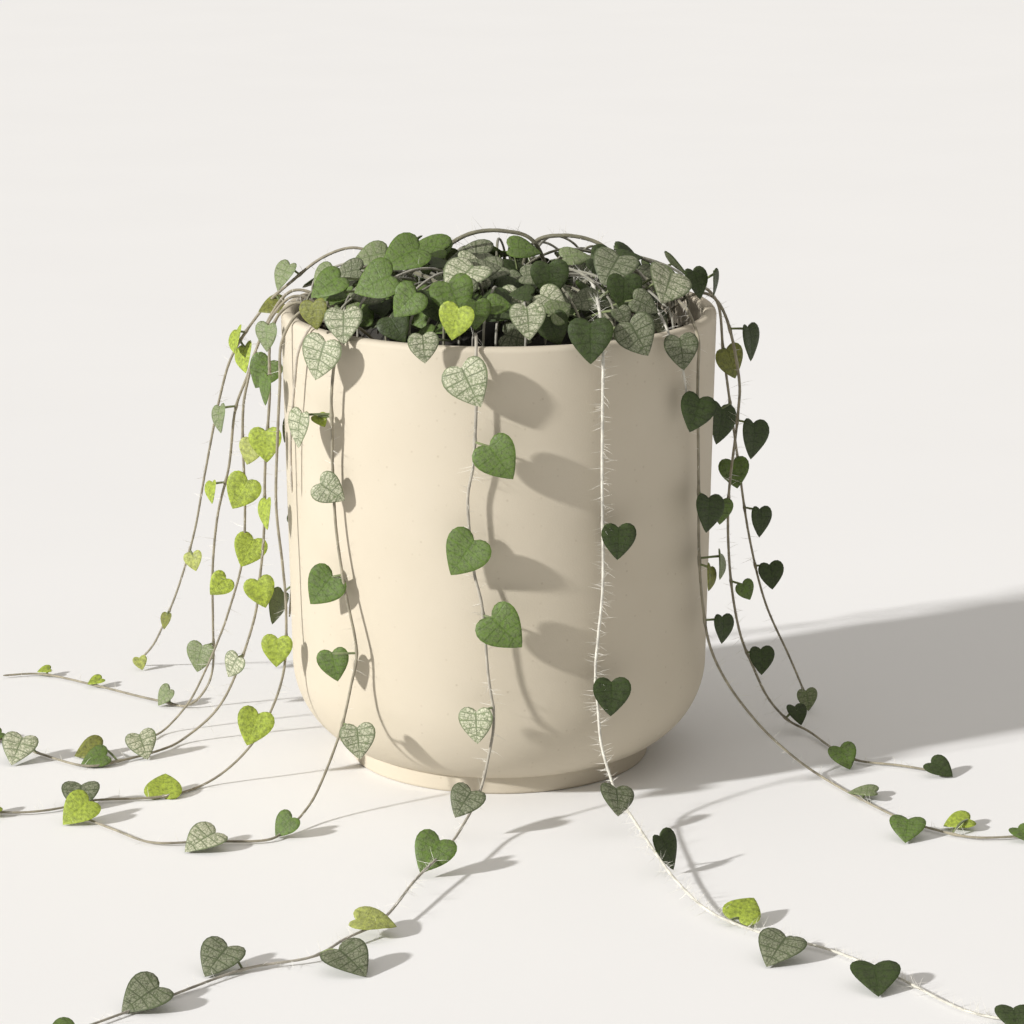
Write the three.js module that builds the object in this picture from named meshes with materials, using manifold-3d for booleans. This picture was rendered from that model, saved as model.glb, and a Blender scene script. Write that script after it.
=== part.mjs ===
// String of hearts (a trailing vine) growing in a round-bottomed stoneware pot.
//
// Frame: millimetres, +Z up. The origin is the centre of the pot's flat foot, the front is -Y
// and the right-hand side is +X. The pot, the soil, the leafy crown and each trailing vine are
// closed solids of their own. Every vine stands in a plain hole in the soil, climbs over the
// rim, hangs down and, where it is long enough, lies along the surface that the pot stands on.

import * as THREE from 'three';
import { mergeVertices } from 'three/addons/utils/BufferGeometryUtils.js';
import Module from 'manifold-3d';

const wasm = await Module();
wasm.setup();

// ---------------------------------------------------------------- driving dimensions, in mm
const POT_HEIGHT = 170;
const RIM_RADIUS = 80; // outer radius just under the lip
const BASE_RADIUS = 77.6; // outer radius where the bottom corner starts
const CORNER_RADIUS = 34; // the round between the wall and the underside
const FOOT_RADIUS = 56;
const FOOT_HEIGHT = 5;
const WALL = 5;
const LIP_RADIUS = 2; // rounding of both edges of the rim
const FLOOR_THICKNESS = 9;
const POT_SEGMENTS = 40;

const GAP = 0.3; // between separate pieces that touch
const SOIL_TOP = 158;
const HOLE_RADIUS = 1.8; // plain holes that the stems stand in
const HOLE_BOTTOM = 145.5;

const CORE_RADIUS = 52; // dense middle of the crown, which its leaves stand out of
const CORE_TOP = 177;
const FOOT_REACH = CORE_RADIUS - 6; // the crown's stalks start within this radius

const STEM_RADIUS = 1; // of the three corners of a stem's section
const STALK_HALF = 0.6; // half the width of a leaf stalk at the blade
const FOOT_HALF = 0.22; // and inside the stem
const BLADE_THICKNESS = 0.8;
const FOLD = 0.22; // how steeply the two halves of a blade rise from its midrib
const DROOP = 0.12; // how much its tip droops
const NOTCH = 0.36; // from the notch to the middle of a blade, in leaf lengths
const EDGE_REACH = 0.42; // from the middle to the edge, which a turned blade swings back
const LEAF_LIFT = 2.6; // a blade's middle stands this far in front of a hanging stem
const LYING_LIFT = 1.6; // and this far above a lying one
const LOOK_HANGING = 12; // how far a blade looks up, in degrees, beside a hanging stem
const LOOK_LYING = 74; // and over a lying one
const NEAR_WALL = 90; // a stem this close to the axis hangs beside the wall
const LOWEST = 0.25; // no leaf reaches lower than this above the surface
const SLIVER = 0.02; // joining closes up whatever is narrower than this

// Right half of the heart outline, from beside the notch at the stalk to the tip. Across and
// along are in leaf lengths.
const OUTLINE = [[0.29, -0.12], [0.5, 0.18], [0.33, 0.58], [0, 0.88]];

// ---------------------------------------------------------------- the vines
// route: the points that the stem passes through, from its hole in the soil to its tip.
// leaves: distance along the stem, how far the middle of the blade lies to the stem's side
// (positive is to the right of a hanging stem seen from the front), the leaf's length, which
// way its tip points as seen from the front (degrees: 0 is right, -90 down) and how far the
// blade is turned to the right. A last value, where there is one, says how far it looks up.
const VINES = {
  left_far: {
    route: [[-40, 10, 146], [-40, 10, 168], [-43, 10, 185], [-53, 11, 190], [-65, 14, 186],
      [-77, 20, 176], [-88, 26, 165], [-100, 32, 147], [-106, 37, 129], [-113, 47, 98],
      [-119, 60, 70], [-127, 76, 44], [-134, 90, 26], [-141, 102, 11], [-149, 110, 1.2]],
    leaves: [[80, -2, 12, -130, -50], [93, 3, 11, -160, 0, 60], [113, -1, 11, -105, -70],
      [117, 5, 12, -95, -60], [217, 3, 8, -80, -20], [256, 1, 7, -115, -50],
      [292, 5, 6, -75, 0]],
  },
  left_back: {
    route: [[-60, 8, 146], [-60, 8, 162], [-66, 8, 172], [-77, 9, 174], [-86, 10, 162],
      [-94, 14, 141], [-99, 17, 127], [-102, 21, 105], [-107, 26, 85], [-110, 33, 62],
      [-111, 41, 39], [-112, 48, 18], [-116, 51, 7], [-123, 51, 1.2], [-133, 57, 1.2],
      [-143, 64, 1.2], [-163, 80, 1.2], [-185, 95, 1.2], [-202, 93, 1.2]],
    leaves: [[94, -5, 11, -95, -60], [125, -4, 9, -100, -60], [167, 3, 10, -135, 0],
      [200, -5, 12, -105, -20], [238, 2, 9, -140, -40, 35], [278, -1, 7, -150, 0],
      [305, -1, 6, -165, 0]],
  },
  left_mid: {
    route: [[-61, -3, 146], [-61, -3, 161], [-67, -2, 171.5], [-77, -2, 173.5], [-87, -2, 160],
      [-93, -2, 141], [-95, 0, 125], [-95, 4, 92], [-97, 9, 70], [-103, 14, 49],
      [-107, 17, 38], [-112, 20, 26], [-119, 22, 12], [-128, 19, 2], [-134, 8, 1.2]],
    leaves: [[68, 5, 13, -120, -10], [100, 3, 10, -110, -20], [116, -1, 14, -120, -10],
      [140, 2, 13, -115, 0]],
  },
  left_long: {
    route: [[-59, -15, 146], [-59, -15, 160], [-65, -14, 170.5], [-75, -13, 173.5],
      [-83, -12, 163], [-84, -13, 138], [-86, -13, 113], [-87, -11, 88], [-89, -6, 70],
      [-92, 0, 51], [-100, 6, 27], [-108, 9, 12], [-120, 6, 2], [-128, -6, 1.2],
      [-142, -19, 1.2], [-154, -25, 1.2], [-172, -11, 1.2], [-190, 8, 1.2], [-200, 14, 1.2]],
    leaves: [[52, -1, 11, -100, -40], [71, -1, 12, -115, -65], [92, 0, 13, -90, -15],
      [117, 1, 12, -100, -65], [151, 1, 12, -75, -5], [185, -2, 10, -125, -30],
      [248, 0, 12, -70, 0, 45], [262, -14, 12, -160, 0, 60], [267, -4, 11, -160, 0, 60],
      [297, 10, 14, -105, 0, 55], [324, 2, 9, -150, 0]],
  },
  left_front: {
    route: [[-55, -27, 146], [-55, -27, 160], [-62, -28, 170.5], [-71, -29, 173.5],
      [-78, -31, 163], [-79, -31, 147], [-80, -32, 129], [-81, -32, 103], [-79, -32, 80],
      [-78, -32, 63], [-79, -35, 41], [-85, -39, 24], [-94, -42, 11], [-107, -46, 1.5],
      [-122, -61, 1.2], [-146, -65, 1.2], [-158, -74, 1.2], [-168, -78, 1.2],
      [-178, -78, 1.2], [-190, -74, 1.2]],
    leaves: [[165, 0, 12, -95, -10], [196, -3, 14, -110, 0], [242, -5, 14, 90, 0, 60],
      [277, 2, 14, -90, 0, 65], [310, 2, 10, -160, 0]],
  },
  left_wall: {
    route: [[-52, -39, 146], [-52, -39, 160], [-58, -41, 170], [-65, -44, 172.5],
      [-71, -44, 163], [-73, -41, 150], [-75, -37, 128], [-75, -35, 108]],
    leaves: [],
  },
  front_left: {
    route: [[-41, -45, 146], [-41, -45, 160], [-47, -52, 170], [-53, -58, 173.5],
      [-57, -62, 165], [-59, -60, 150], [-59, -59, 135], [-59, -58, 121], [-58, -59, 100],
      [-55, -62, 79], [-51, -66, 58], [-53, -68, 45], [-57, -74, 29], [-64, -82, 12],
      [-69, -89, 5], [-75, -100, 2], [-82, -109, 1.2], [-102, -110, 1.2], [-121, -111, 1.2],
      [-136, -97, 1.2], [-148, -84, 1.2]],
    leaves: [[39, 1, 14, -90, -10], [50, -2, 16, -110, -25], [73, -3, 6, -60, 0, 50],
      [76, -9, 14, -110, -55], [98, 2, 12, -35, -10], [133, -7, 15, -130, -10],
      [164, -7, 12, -80, -10], [188, 7, 13, -85, 0], [234, 1, 10, -135, -20, 40],
      [265, 5, 15, -140, 0, 70], [320, 3, 14, -135, 0, 50]],
  },
  front_mid: {
    route: [[-9, -60, 146], [-9, -60, 160], [-9, -67, 170.5], [-8, -76, 173.5], [-8, -83, 165],
      [-8, -83.5, 149], [-9, -83.5, 130], [-11, -83, 116], [-9, -83, 92], [-6, -83.5, 78],
      [-4, -84, 54], [-2, -86, 38], [-4, -90, 25], [-7, -98, 15], [-12, -112, 9],
      [-18, -134, 7], [-28, -162, 6], [-38, -194, 4], [-50, -210, 3], [-60, -223, 2],
      [-81, -232, 1.4], [-105, -257, 1.2], [-124, -277, 1.2], [-134, -288, 1.2]],
    leaves: [[54, -2, 17, -65, -15], [80, 9, 16, -55, -10], [115, -2, 17, -125, -10],
      [143, 7, 17, -45, -10], [178, -6, 13, -90, -20], [211, -3, 13, -120, 0],
      [252, -2, 15, -120, 0, 45], [312, 0, 15, -10, 0, 80], [339, 14, 16, -50, 0, 70],
      [370, -6, 15, -120, 0, 65], [406, 0, 16, -140, 0, 65], [440, 3, 12, -130, 0]],
  },
  front_right: {
    route: [[28, -4, 146], [28, -4, 170], [28, -9, 184], [33, -25, 184], [35, -50, 180],
      [35.5, -67, 176], [36, -76, 167], [36, -75.5, 147], [36, -75.5, 123],
      [36.5, -75.5, 86], [35, -76, 66], [34, -77, 53], [35, -78, 39], [36, -83, 28],
      [39, -89, 18], [42, -96, 12], [46, -107, 9], [52, -134, 7], [59, -162, 5],
      [69, -186, 3], [85, -203, 2], [104, -215, 1.4], [123, -238, 1.2], [141, -266, 1.2],
      [158, -276, 1.2], [170, -283, 1.2]],
    leaves: [[109, -6, 16, -90, 0], [179, 4, 13, -90, 15], [236, 4, 14, -90, 10],
      [278, -2, 13, -85, 35], [322, 3, 14, -50, 55, 30], [378, 8, 13, 60, 0, 60],
      [405, -15, 16, -120, 0, 70], [449, -10, 16, -90, 0, 75], [497, -3, 12, -90, 0]],
  },
  right_short: {
    route: [[47, -29, 146], [47, -29, 168], [50, -33, 179], [55, -44, 178],
      [58, -54, 174.5], [61.5, -57, 166], [65, -52.5, 157], [67.5, -49.5, 141]],
    leaves: [[69, -1, 13, -80, 15], [94, -2, 14, -105, 20]],
  },
  right_front: {
    route: [[57, -13, 146], [57, -13, 166], [61, -15, 177], [66, -26, 175.5], [68, -36, 174],
      [71, -43, 166], [71, -43.5, 155], [71, -43.5, 144], [71.5, -43, 127],
      [72, -41.5, 106], [72.5, -39.5, 86], [74, -38, 68], [77, -38, 51], [84, -37, 36],
      [95, -36, 21], [106, -36, 10], [117, -38, 2], [130, -64, 1.2], [143, -88, 1.2],
      [151, -97, 1.2], [165, -107, 1.2], [182, -106, 1.2], [193, -102, 1.2]],
    leaves: [[128, -5, 14, -90, 40], [151, 3, 11, -75, 80], [153, -5, 10, -90, 70],
      [176, 2, 11, -85, 45], [275, 3, 11, 170, 0, 85], [315, -12, 13, -100, 0, 70],
      [323, 9, 11, -165, 0, 75], [351, -2, 9, -60, 0, 70]],
  },
  right_back: {
    route: [[56, 13, 146], [56, 13, 162], [63, 13, 172], [74, 16, 175], [82, 21, 167],
      [84.5, 24, 148], [88, 28, 125], [91, 31, 106], [96, 35, 75], [103, 39, 47],
      [113, 43, 24], [118, 47, 12], [121, 50, 4]],
    leaves: [[75, 2, 13, -65, 30], [98, -5, 16, -95, 45], [121, -2, 12, -80, 0],
      [141, 5, 12, -85, 45], [165, 5, 11, -80, 20], [223, 0, 9, -80, 20]],
  },
  right_mid: {
    route: [[60, -1, 146], [60, -1, 162], [67, 0, 172], [77, 0, 174.5], [84, 2, 165],
      [89, 4, 143], [89, 5, 128], [86, 5, 96], [87, 6, 68], [91, 8, 44], [97, 11, 28],
      [103, 15, 15], [111, 19, 5], [119, 13, 2], [126, -5, 1.2], [134, -20, 1.2],
      [149, -26, 1.2], [165, -35, 1.2]],
    leaves: [[60, 6, 14, -70, 60], [96, 6, 15, -90, 45], [125, -3, 10, -90, 30],
      [157, 5, 8, -60, 20], [187, 4, 11, -85, 25], [222, 3, 9, -70, 30],
      [267, -8, 11, -70, 0, 50], [300, -1, 11, -40, 0, 65]],
  },
};

// Vines at the back: degrees round from +X, how far the stem reaches from its hole in mm, and
// how far the free end swings to the left (positive) as it hangs and trails.
const BACK_VINES = [[38, 190, 6], [62, 330, 6], [84, 150, 5], [103, 290, 8], [124, 215, 4],
  [147, 185, 8]];
const BACK_LEAF_SPACING = 35;
const FIRST_BACK_SEED = 100; // each vine at the back draws from a seed of its own

// Bare stems that arch over the top of the crown and go back down into it.
const ARCHES = [
  [[-26, 14, 168], [-22, 12, 186], [-12, 9, 195], [2, 6, 197], [14, 4, 192], [22, 4, 168]],
  [[6, 22, 168], [12, 14, 190], [24, 8, 195], [38, 4, 192], [46, 0, 182], [47, -2, 166]],
  [[-30, -8, 166], [-34, -16, 184], [-28, -30, 187], [-18, -40, 182], [-14, -42, 166]],
];

// Leaves of the crown that stand over the front of the rim or on its top: x, y and z of the
// middle, length, heading, how far the face looks up and how far it is turned to the right.
const SHOWN_LEAVES = [
  [-43, -62, 190, 16, -160, 35, -10], [-32, -68, 184, 13, -135, 20, -10],
  [-26, -83, 171, 11, -85, 5, 5], [-15, -77, 179, 13, -105, 10, -15],
  [-8, -73, 181, 11, -90, 10, 15], [0, -68, 183, 9, 0, 45, 0],
  [10, -76, 179, 13, -85, 20, 5], [21, -68, 181, 10, 35, 30, 15],
  [19, -70, 175, 12, -70, 15, 0], [18, -50, 189, 14, -85, 15, 5],
  [44, -52, 185, 13, -90, 15, 10], [48, -74, 173, 15, -60, 10, 5],
  [-60, -56, 188, 14, -150, 50, -20], [-59, -50, 184, 12, 180, 60, -10],
  [-65, -52, 177, 11, -85, 15, -25], [-63, -16, 183, 13, -135, 40, -40],
  [-46, -14, 191, 14, -165, 60, 0], [-25, -6, 193, 15, 165, 60, 0],
  [-36, -15, 190, 10, 0, 75, 0], [-21, -20, 189, 10, 10, 75, 0],
  [-11, -15, 190, 8, 0, 50, 0], [9, -5, 192, 13, 0, 60, 10],
  [72, -12, 181, 12, -65, 25, 45], [79, -6, 180, 10, -70, 5, 75],
  [48, -4, 189, 10, 20, 70, 10], [61, -25, 184, 12, -20, 50, 30],
  [28, -10, 190, 12, 10, 65, 0], [30, -46, 180, 12, -170, 55, 0],
  [-14, -54, 186, 12, 150, 40, 0], [-23, -60, 182, 13, -70, 25, 0],
  [-36, -62, 174, 12, -60, 30, -10], [-5, -35, 190, 12, 20, 60, 0],
  [8, -58, 185, 9, 170, 60, 0], [51, -56, 181, 11, -20, 40, 20],
  [43, -68, 179, 8, -60, 40, 20], [-54, -30, 188, 12, 180, 55, -20],
];
const CROWN_LEAVES = 46;
const CROWN_RADIUS = 77;
const CROWN_TOP = 191;
const GOLDEN_ANGLE = (137.508 * Math.PI) / 180;
const TRIES = 80; // at each leaf of the crown
const CLEAR_OF_VINES = 2.2; // between sample points
const CLEAR_OF_LEAVES = 1.5;
const BACK_LEVEL = 176; // the crown flattens to this height towards the back,
const BACK_FALL = 0.018; // by this share for each mm

// ---------------------------------------------------------------- small helpers
// A plain generator of repeatable random numbers from 0 to 1.
function randomFrom(seed) {
  let state = seed >>> 0;
  return () => {
    state = (Math.imul(state, 1664525) + 1013904223) >>> 0;
    return state / 4294967296;
  };
}

const radians = (degrees) => (degrees * Math.PI) / 180;
const vector = (point) => new THREE.Vector3(point[0], point[1], point[2]);

// A closed geometry becomes a solid that can be joined and cut.
function solidOf(geometry) {
  geometry.deleteAttribute('normal');
  geometry.deleteAttribute('uv');
  const welded = mergeVertices(geometry, 1e-4);
  return new wasm.Manifold(new wasm.Mesh({
    numProp: 3,
    vertProperties: new Float32Array(welded.attributes.position.array),
    triVerts: new Uint32Array(welded.index.array),
  }));
}

// The largest connected body of a joined solid, as a three.js geometry without slivers.
function geometryOf(solid) {
  const bodies = solid.simplify(SLIVER).decompose();
  bodies.sort((a, b) => b.volume() - a.volume());
  const mesh = bodies[0].getMesh();
  const geometry = new THREE.BufferGeometry();
  geometry.setAttribute('position', new THREE.BufferAttribute(mesh.vertProperties, 3));
  geometry.setIndex(new THREE.BufferAttribute(mesh.triVerts, 1));
  geometry.computeVertexNormals();
  return geometry;
}

// ---------------------------------------------------------------- stems
// A smooth curve through a route, walked evenly between its points, so that a tube along it
// has short steps where the route bends.
class StemCurve extends THREE.CatmullRomCurve3 {
  constructor(route) {
    super(route.map(vector), false, 'catmullrom', 0.5);
  }

  getUtoTmapping(u) {
    return u;
  }
}

// Many points along the curve with the distance of each from the start.
function walk(curve) {
  const count = 24 * (curve.points.length - 1);
  const points = [];
  const distances = [0];
  for (let i = 0; i <= count; i += 1) {
    points.push(curve.getPoint(i / count));
    if (i > 0) distances.push(distances[i - 1] + points[i].distanceTo(points[i - 1]));
  }
  return { points, distances, length: distances[count] };
}

// Position and direction of the stem at a distance from its start.
function placeAlong(path, distance) {
  const wanted = Math.min(Math.max(distance, 0), path.length - 0.01);
  let i = 0;
  while (path.distances[i + 1] < wanted) i += 1;
  const share = (wanted - path.distances[i]) / (path.distances[i + 1] - path.distances[i]);
  const position = path.points[i].clone().lerp(path.points[i + 1], share);
  const direction = path.points[i + 1].clone().sub(path.points[i]).normalize();
  return { position, direction };
}

// A thin three-sided tube along a route.
function stemSolid(route) {
  const section = new THREE.Shape();
  for (const degrees of [90, 210, 330]) {
    const x = STEM_RADIUS * Math.cos(radians(degrees));
    const y = STEM_RADIUS * Math.sin(radians(degrees));
    if (degrees === 90) section.moveTo(x, y);
    else section.lineTo(x, y);
  }
  const steps = 2 * (route.length - 1);
  return solidOf(new THREE.ExtrudeGeometry(section, { steps, extrudePath: new StemCurve(route) }));
}

// ---------------------------------------------------------------- leaves
// A heart-shaped blade and its stalk as one closed sheet. The blade lies on its own axes:
// across, along (towards the tip) and facing (out of the upper side). Its halves rise from the
// midrib and its tip droops. The stalk narrows from the notch to the foot point in the stem.
function leafSheet(leaf) {
  const { length, middle, along, facing, foot } = leaf;
  const across = along.clone().cross(facing);
  const onBlade = (x, y) => middle.clone().addScaledVector(across, x)
    .addScaledVector(along, y - NOTCH * length)
    .addScaledVector(facing, FOLD * Math.abs(x) - (DROOP * y * y) / length);
  const sideOf = (sign) => OUTLINE.map(([x, y]) => onBlade(sign * x * length, y * length));
  const stalk = onBlade(0, 0).sub(foot).normalize();
  const footAcross = across.clone().addScaledVector(stalk, -across.dot(stalk)).normalize();
  const footUp = footAcross.clone().cross(stalk);
  const footAt = (sign) => foot.clone().addScaledVector(footAcross, sign * FOOT_HALF);
  const right = sideOf(1);
  const left = sideOf(-1).slice(0, -1).reverse();
  const ring = [footAt(1), onBlade(STALK_HALF, 0), ...right, ...left, onBlade(-STALK_HALF, 0),
    footAt(-1)];

  const count = ring.length;
  const positions = [];
  for (const side of [0.5, -0.5]) {
    ring.forEach((point, i) => {
      const up = i === 0 || i === count - 1 ? footUp : facing;
      const corner = point.clone().addScaledVector(up, side * BLADE_THICKNESS);
      positions.push(corner.x, corner.y, corner.z);
    });
  }
  const tip = 1 + OUTLINE.length;
  const faces = [[0, 1, count - 2], [0, count - 2, count - 1], [1, tip, count - 2]];
  for (let i = 2; i < tip; i += 1) faces.push([1, i, i + 1]);
  for (let i = tip; i < count - 3; i += 1) faces.push([count - 2, i, i + 1]);
  const index = [];
  for (const [a, b, c] of faces) index.push(a, b, c, count + a, count + c, count + b);
  for (let i = 0; i < count; i += 1) {
    const next = (i + 1) % count;
    index.push(i, count + i, count + next, i, count + next, next);
  }
  const geometry = new THREE.BufferGeometry();
  geometry.setAttribute('position', new THREE.Float32BufferAttribute(positions, 3));
  geometry.setIndex(index);
  return geometry;
}

// Blade axes: the tip leans along the wanted direction as far as the facing allows.
function leafAxes(facing, wanted) {
  return wanted.clone().addScaledVector(facing, -wanted.dot(facing)).normalize();
}

// Lifts a leaf so that no corner lies lower than the surface allows.
function liftOff(leaf) {
  const geometry = leafSheet(leaf);
  geometry.computeBoundingBox();
  const low = geometry.boundingBox.min.z;
  if (low < LOWEST) leaf.middle.z += LOWEST - low;
  return leaf;
}

// A leaf with its middle and angles given. A blade that faces the front is lifted by one
// angle and turned by the other, and its tip swings round in the blade's own plane.
function angledLeaf(middle, length, heading, lift, turn) {
  const level = Math.cos(radians(lift));
  const facing = new THREE.Vector3(level * Math.sin(radians(turn)),
    -level * Math.cos(radians(turn)), Math.sin(radians(lift)));
  const right = leafAxes(facing, new THREE.Vector3(1, 0, 0));
  const above = facing.clone().cross(right);
  const along = right.multiplyScalar(Math.cos(radians(heading)))
    .addScaledVector(above, Math.sin(radians(heading)));
  return { length, middle, along, facing };
}

// The foot of a stalk: where the stem comes closest to the notch of the leaf.
function nearestPoint(path, leaf) {
  const notch = leaf.middle.clone().addScaledVector(leaf.along, -NOTCH * leaf.length);
  let best = path.points[0];
  for (const point of path.points) {
    const low = point.z < Math.max(SOIL_TOP, leaf.middle.z + 14);
    if (low && point.distanceTo(notch) < best.distanceTo(notch)) best = point;
  }
  return best;
}

// A leaf of a vine at the front. It stands in front of its stem, or outwards from the wall.
function frontLeaf(path, [distance, aside, length, heading, turn, look]) {
  const { position, direction } = placeAlong(path, distance);
  const hang = Math.abs(direction.z);
  const outward = new THREE.Vector3(position.x, position.y, 0).normalize();
  const besideWall = Math.hypot(position.x, position.y) < NEAR_WALL && position.y < -25;
  const lean = besideWall ? outward : new THREE.Vector3(0, -1, 0);
  lean.multiplyScalar(hang).addScaledVector(new THREE.Vector3(0, 0, 1), 1 - hang);
  lean.addScaledVector(direction, -lean.dot(direction)).normalize();
  const sideways = lean.clone().cross(direction);
  const clear = LYING_LIFT + (LEAF_LIFT - LYING_LIFT) * hang
    + EDGE_REACH * length * hang * Math.abs(Math.sin(radians(turn)));
  const middle = position.clone().addScaledVector(sideways, aside).addScaledVector(lean, clear);
  const lift = look ?? LOOK_HANGING + (LOOK_LYING - LOOK_HANGING) * (1 - hang);
  const leaf = angledLeaf(middle, length, heading, lift, turn);
  leaf.foot = nearestPoint(path, leaf);
  return liftOff(leaf);
}

// A leaf of a vine at the back, by rule. It faces outwards beside the wall and upwards where
// the stem lies, and stands in front of its stem.
function backLeaf(path, [distance, aside, length, turn], random) {
  const { position, direction } = placeAlong(path, distance);
  const hang = Math.abs(direction.z);
  const outward = new THREE.Vector3(position.x, position.y, 0).normalize();
  const up = new THREE.Vector3(0, 0, 1);
  const lean = outward.clone().multiplyScalar(hang).addScaledVector(up, 1.1 * (1 - hang));
  lean.addScaledVector(direction, -lean.dot(direction)).normalize();
  const sideways = lean.clone().cross(direction);

  const facing = outward.clone().multiplyScalar(0.4 + 0.6 * hang)
    .addScaledVector(up, 0.9 - 0.65 * hang).normalize();
  const spread = radians(14 + 3.2 * Math.abs(aside)) * Math.sign(aside);
  const wanted = direction.clone().multiplyScalar(Math.cos(spread))
    .addScaledVector(sideways, Math.sin(spread));
  const along = leafAxes(facing, wanted);
  const tilt = turn + 16 * (random() - 0.5);
  facing.applyAxisAngle(along, radians(hang > 0.5 ? tilt : -tilt));

  const clear = LEAF_LIFT + EDGE_REACH * length * Math.abs(Math.sin(radians(tilt)));
  const middle = position.clone().addScaledVector(sideways, aside).addScaledVector(lean, clear);
  const foot = placeAlong(path, distance - 0.5 * length - 1).position;
  return liftOff({ length, middle, along, facing, foot });
}

// The joined solid of a stem with its leaves.
function vineSolid(route, leaves) {
  const blades = leaves.map((leaf) => solidOf(leafSheet(leaf)));
  return wasm.Manifold.union([stemSolid(route), ...blades]);
}

// The route of a vine at the back: out of the soil, over the rim, down beside the wall and,
// if it is long enough, outwards along the surface.
function backRoute([degrees, reach, swing]) {
  const route = [];
  const lane = (radius, height, turned) => {
    const angle = radians(degrees + turned);
    route.push([radius * Math.cos(angle), radius * Math.sin(angle), height]);
  };
  lane(60, 146, 0);
  lane(60, 161, 0);
  lane(67, 171.5, 0);
  lane(77, 173.5, 0);
  lane(84, 164, 0);
  let left = reach - 60;
  let height = 164;
  while (left > 0 && height > 36) {
    const step = Math.min(26, left);
    height -= step;
    left -= step;
    lane(85 + 0.05 * (164 - height), height, swing * (1 - height / 164));
  }
  if (left > 0) {
    lane(97, 14, swing);
    lane(107, 3, 1.1 * swing);
    left -= 45;
    let radius = 107;
    while (left > 0) {
      const step = Math.min(26, left);
      radius += step;
      left -= step;
      lane(radius, 1.2, swing * (1.1 + 0.02 * (radius - 107)));
    }
  }
  return route;
}

// ---------------------------------------------------------------- the crown
// Leaves stand out of the core by a rule: each turns by the golden angle from the last and
// lies further out, so that they cover the dome evenly, in three storeys. The random changes
// are drawn afresh for each try at a leaf, until it fits between its neighbours.
function crownLeaf(i, attempt) {
  const random = randomFrom(1000 + 50 * i + attempt);
  const share = (i + 0.5) / CROWN_LEAVES;
  const radius = CROWN_RADIUS * Math.sqrt(share) * (0.94 + 0.1 * random());
  const angle = i * GOLDEN_ANGLE + 0.7 * (random() - 0.5);
  const out = new THREE.Vector3(Math.cos(angle), Math.sin(angle), 0);
  const middle = out.clone().multiplyScalar(radius);
  middle.z = CROWN_TOP - 14 * share ** 1.5 - 5 * (i % 3) + 5 * random();
  const flatter = Math.max(0.25, 1 - BACK_FALL * Math.max(0, middle.y));
  middle.z = BACK_LEVEL + flatter * (middle.z - BACK_LEVEL);
  const facing = out.clone().multiplyScalar(0.2 + 0.9 * share).add(new THREE.Vector3(0, -0.2, 1));
  facing.x += 0.8 * (random() - 0.5);
  facing.y += 0.8 * (random() - 0.5);
  facing.normalize();
  const heading = angle + 2.8 * (random() - 0.5);
  const wanted = new THREE.Vector3(Math.cos(heading), Math.sin(heading), -0.3);
  const along = leafAxes(facing, wanted);
  const length = 12.5 + 6 * random();
  const footRadius = Math.min(radius, FOOT_REACH) * (0.8 + 0.2 * random());
  const foot = out.clone().multiplyScalar(footRadius);
  foot.z = CORE_TOP - 5 - 8 * (footRadius / CORE_RADIUS) ** 2;
  return { length, middle, along, facing, foot };
}

// The foot of a crown leaf's stalk, in the core under the leaf.
function crownFoot(middle) {
  const reach = Math.min(0.8, FOOT_REACH / Math.max(Math.hypot(middle.x, middle.y), 1));
  return new THREE.Vector3(reach * middle.x, reach * middle.y, Math.max(middle.z - 10, 166));
}

// Points spread over a blade, to measure how close it comes to other pieces.
function bladePoints(leaf) {
  const across = leaf.along.clone().cross(leaf.facing);
  const points = [];
  for (let row = -3; row <= 5; row += 1) {
    const y = (row / 9) * leaf.length;
    const reach = row < 3 ? 0.5 : 0.5 - 0.15 * (row - 2);
    for (let column = -4; column <= 4; column += 1) {
      const x = (column / 4) * reach * leaf.length;
      const height = FOLD * Math.abs(x) - DROOP * (row / 9 + NOTCH) ** 2 * leaf.length;
      points.push(leaf.middle.clone().addScaledVector(across, x)
        .addScaledVector(leaf.along, y).addScaledVector(leaf.facing, height));
    }
  }
  return points;
}

// Points along a leaf's stalk.
function stalkPoints(leaf) {
  const notch = leaf.middle.clone().addScaledVector(leaf.along, -NOTCH * leaf.length);
  const count = Math.ceil(notch.distanceTo(leaf.foot));
  return Array.from({ length: count }, (_, i) => leaf.foot.clone().lerp(notch, i / count));
}

// The crown's solid core: a low dome resting on the soil, with a bore for each stem that
// comes up through it.
function coreSolid(roots) {
  const profile = [[0, SOIL_TOP + GAP], [CORE_RADIUS - 4, SOIL_TOP + GAP],
    [CORE_RADIUS, SOIL_TOP + 4], [CORE_RADIUS - 3, CORE_TOP - 11],
    [CORE_RADIUS - 14, CORE_TOP - 4], [CORE_RADIUS - 32, CORE_TOP], [0, CORE_TOP]];
  let core = solidOf(turned(profile, 22));
  for (const [x, y] of roots) {
    if (Math.hypot(x, y) < CORE_RADIUS + 3) {
      const bore = new THREE.CylinderGeometry(2, 2, 60, 10).rotateX(Math.PI / 2);
      core = core.subtract(solidOf(bore.translate(x, y, 170)));
    }
  }
  return core;
}

// Points gathered in coarse cells, to ask quickly whether one lies close to a given point.
class PointCloud {
  cells = new Map();

  key(x, y, z) {
    return `${Math.floor(x / 4)},${Math.floor(y / 4)},${Math.floor(z / 4)}`;
  }

  add(points) {
    for (const point of points) {
      const name = this.key(point.x, point.y, point.z);
      if (!this.cells.has(name)) this.cells.set(name, []);
      this.cells.get(name).push(point);
    }
  }

  near(point, distance) {
    for (let dx = -4; dx <= 4; dx += 4) {
      for (let dy = -4; dy <= 4; dy += 4) {
        for (let dz = -4; dz <= 4; dz += 4) {
          const cell = this.cells.get(this.key(point.x + dx, point.y + dy, point.z + dz)) ?? [];
          if (cell.some((other) => other.distanceTo(point) < distance)) return true;
        }
      }
    }
    return false;
  }
}

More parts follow.
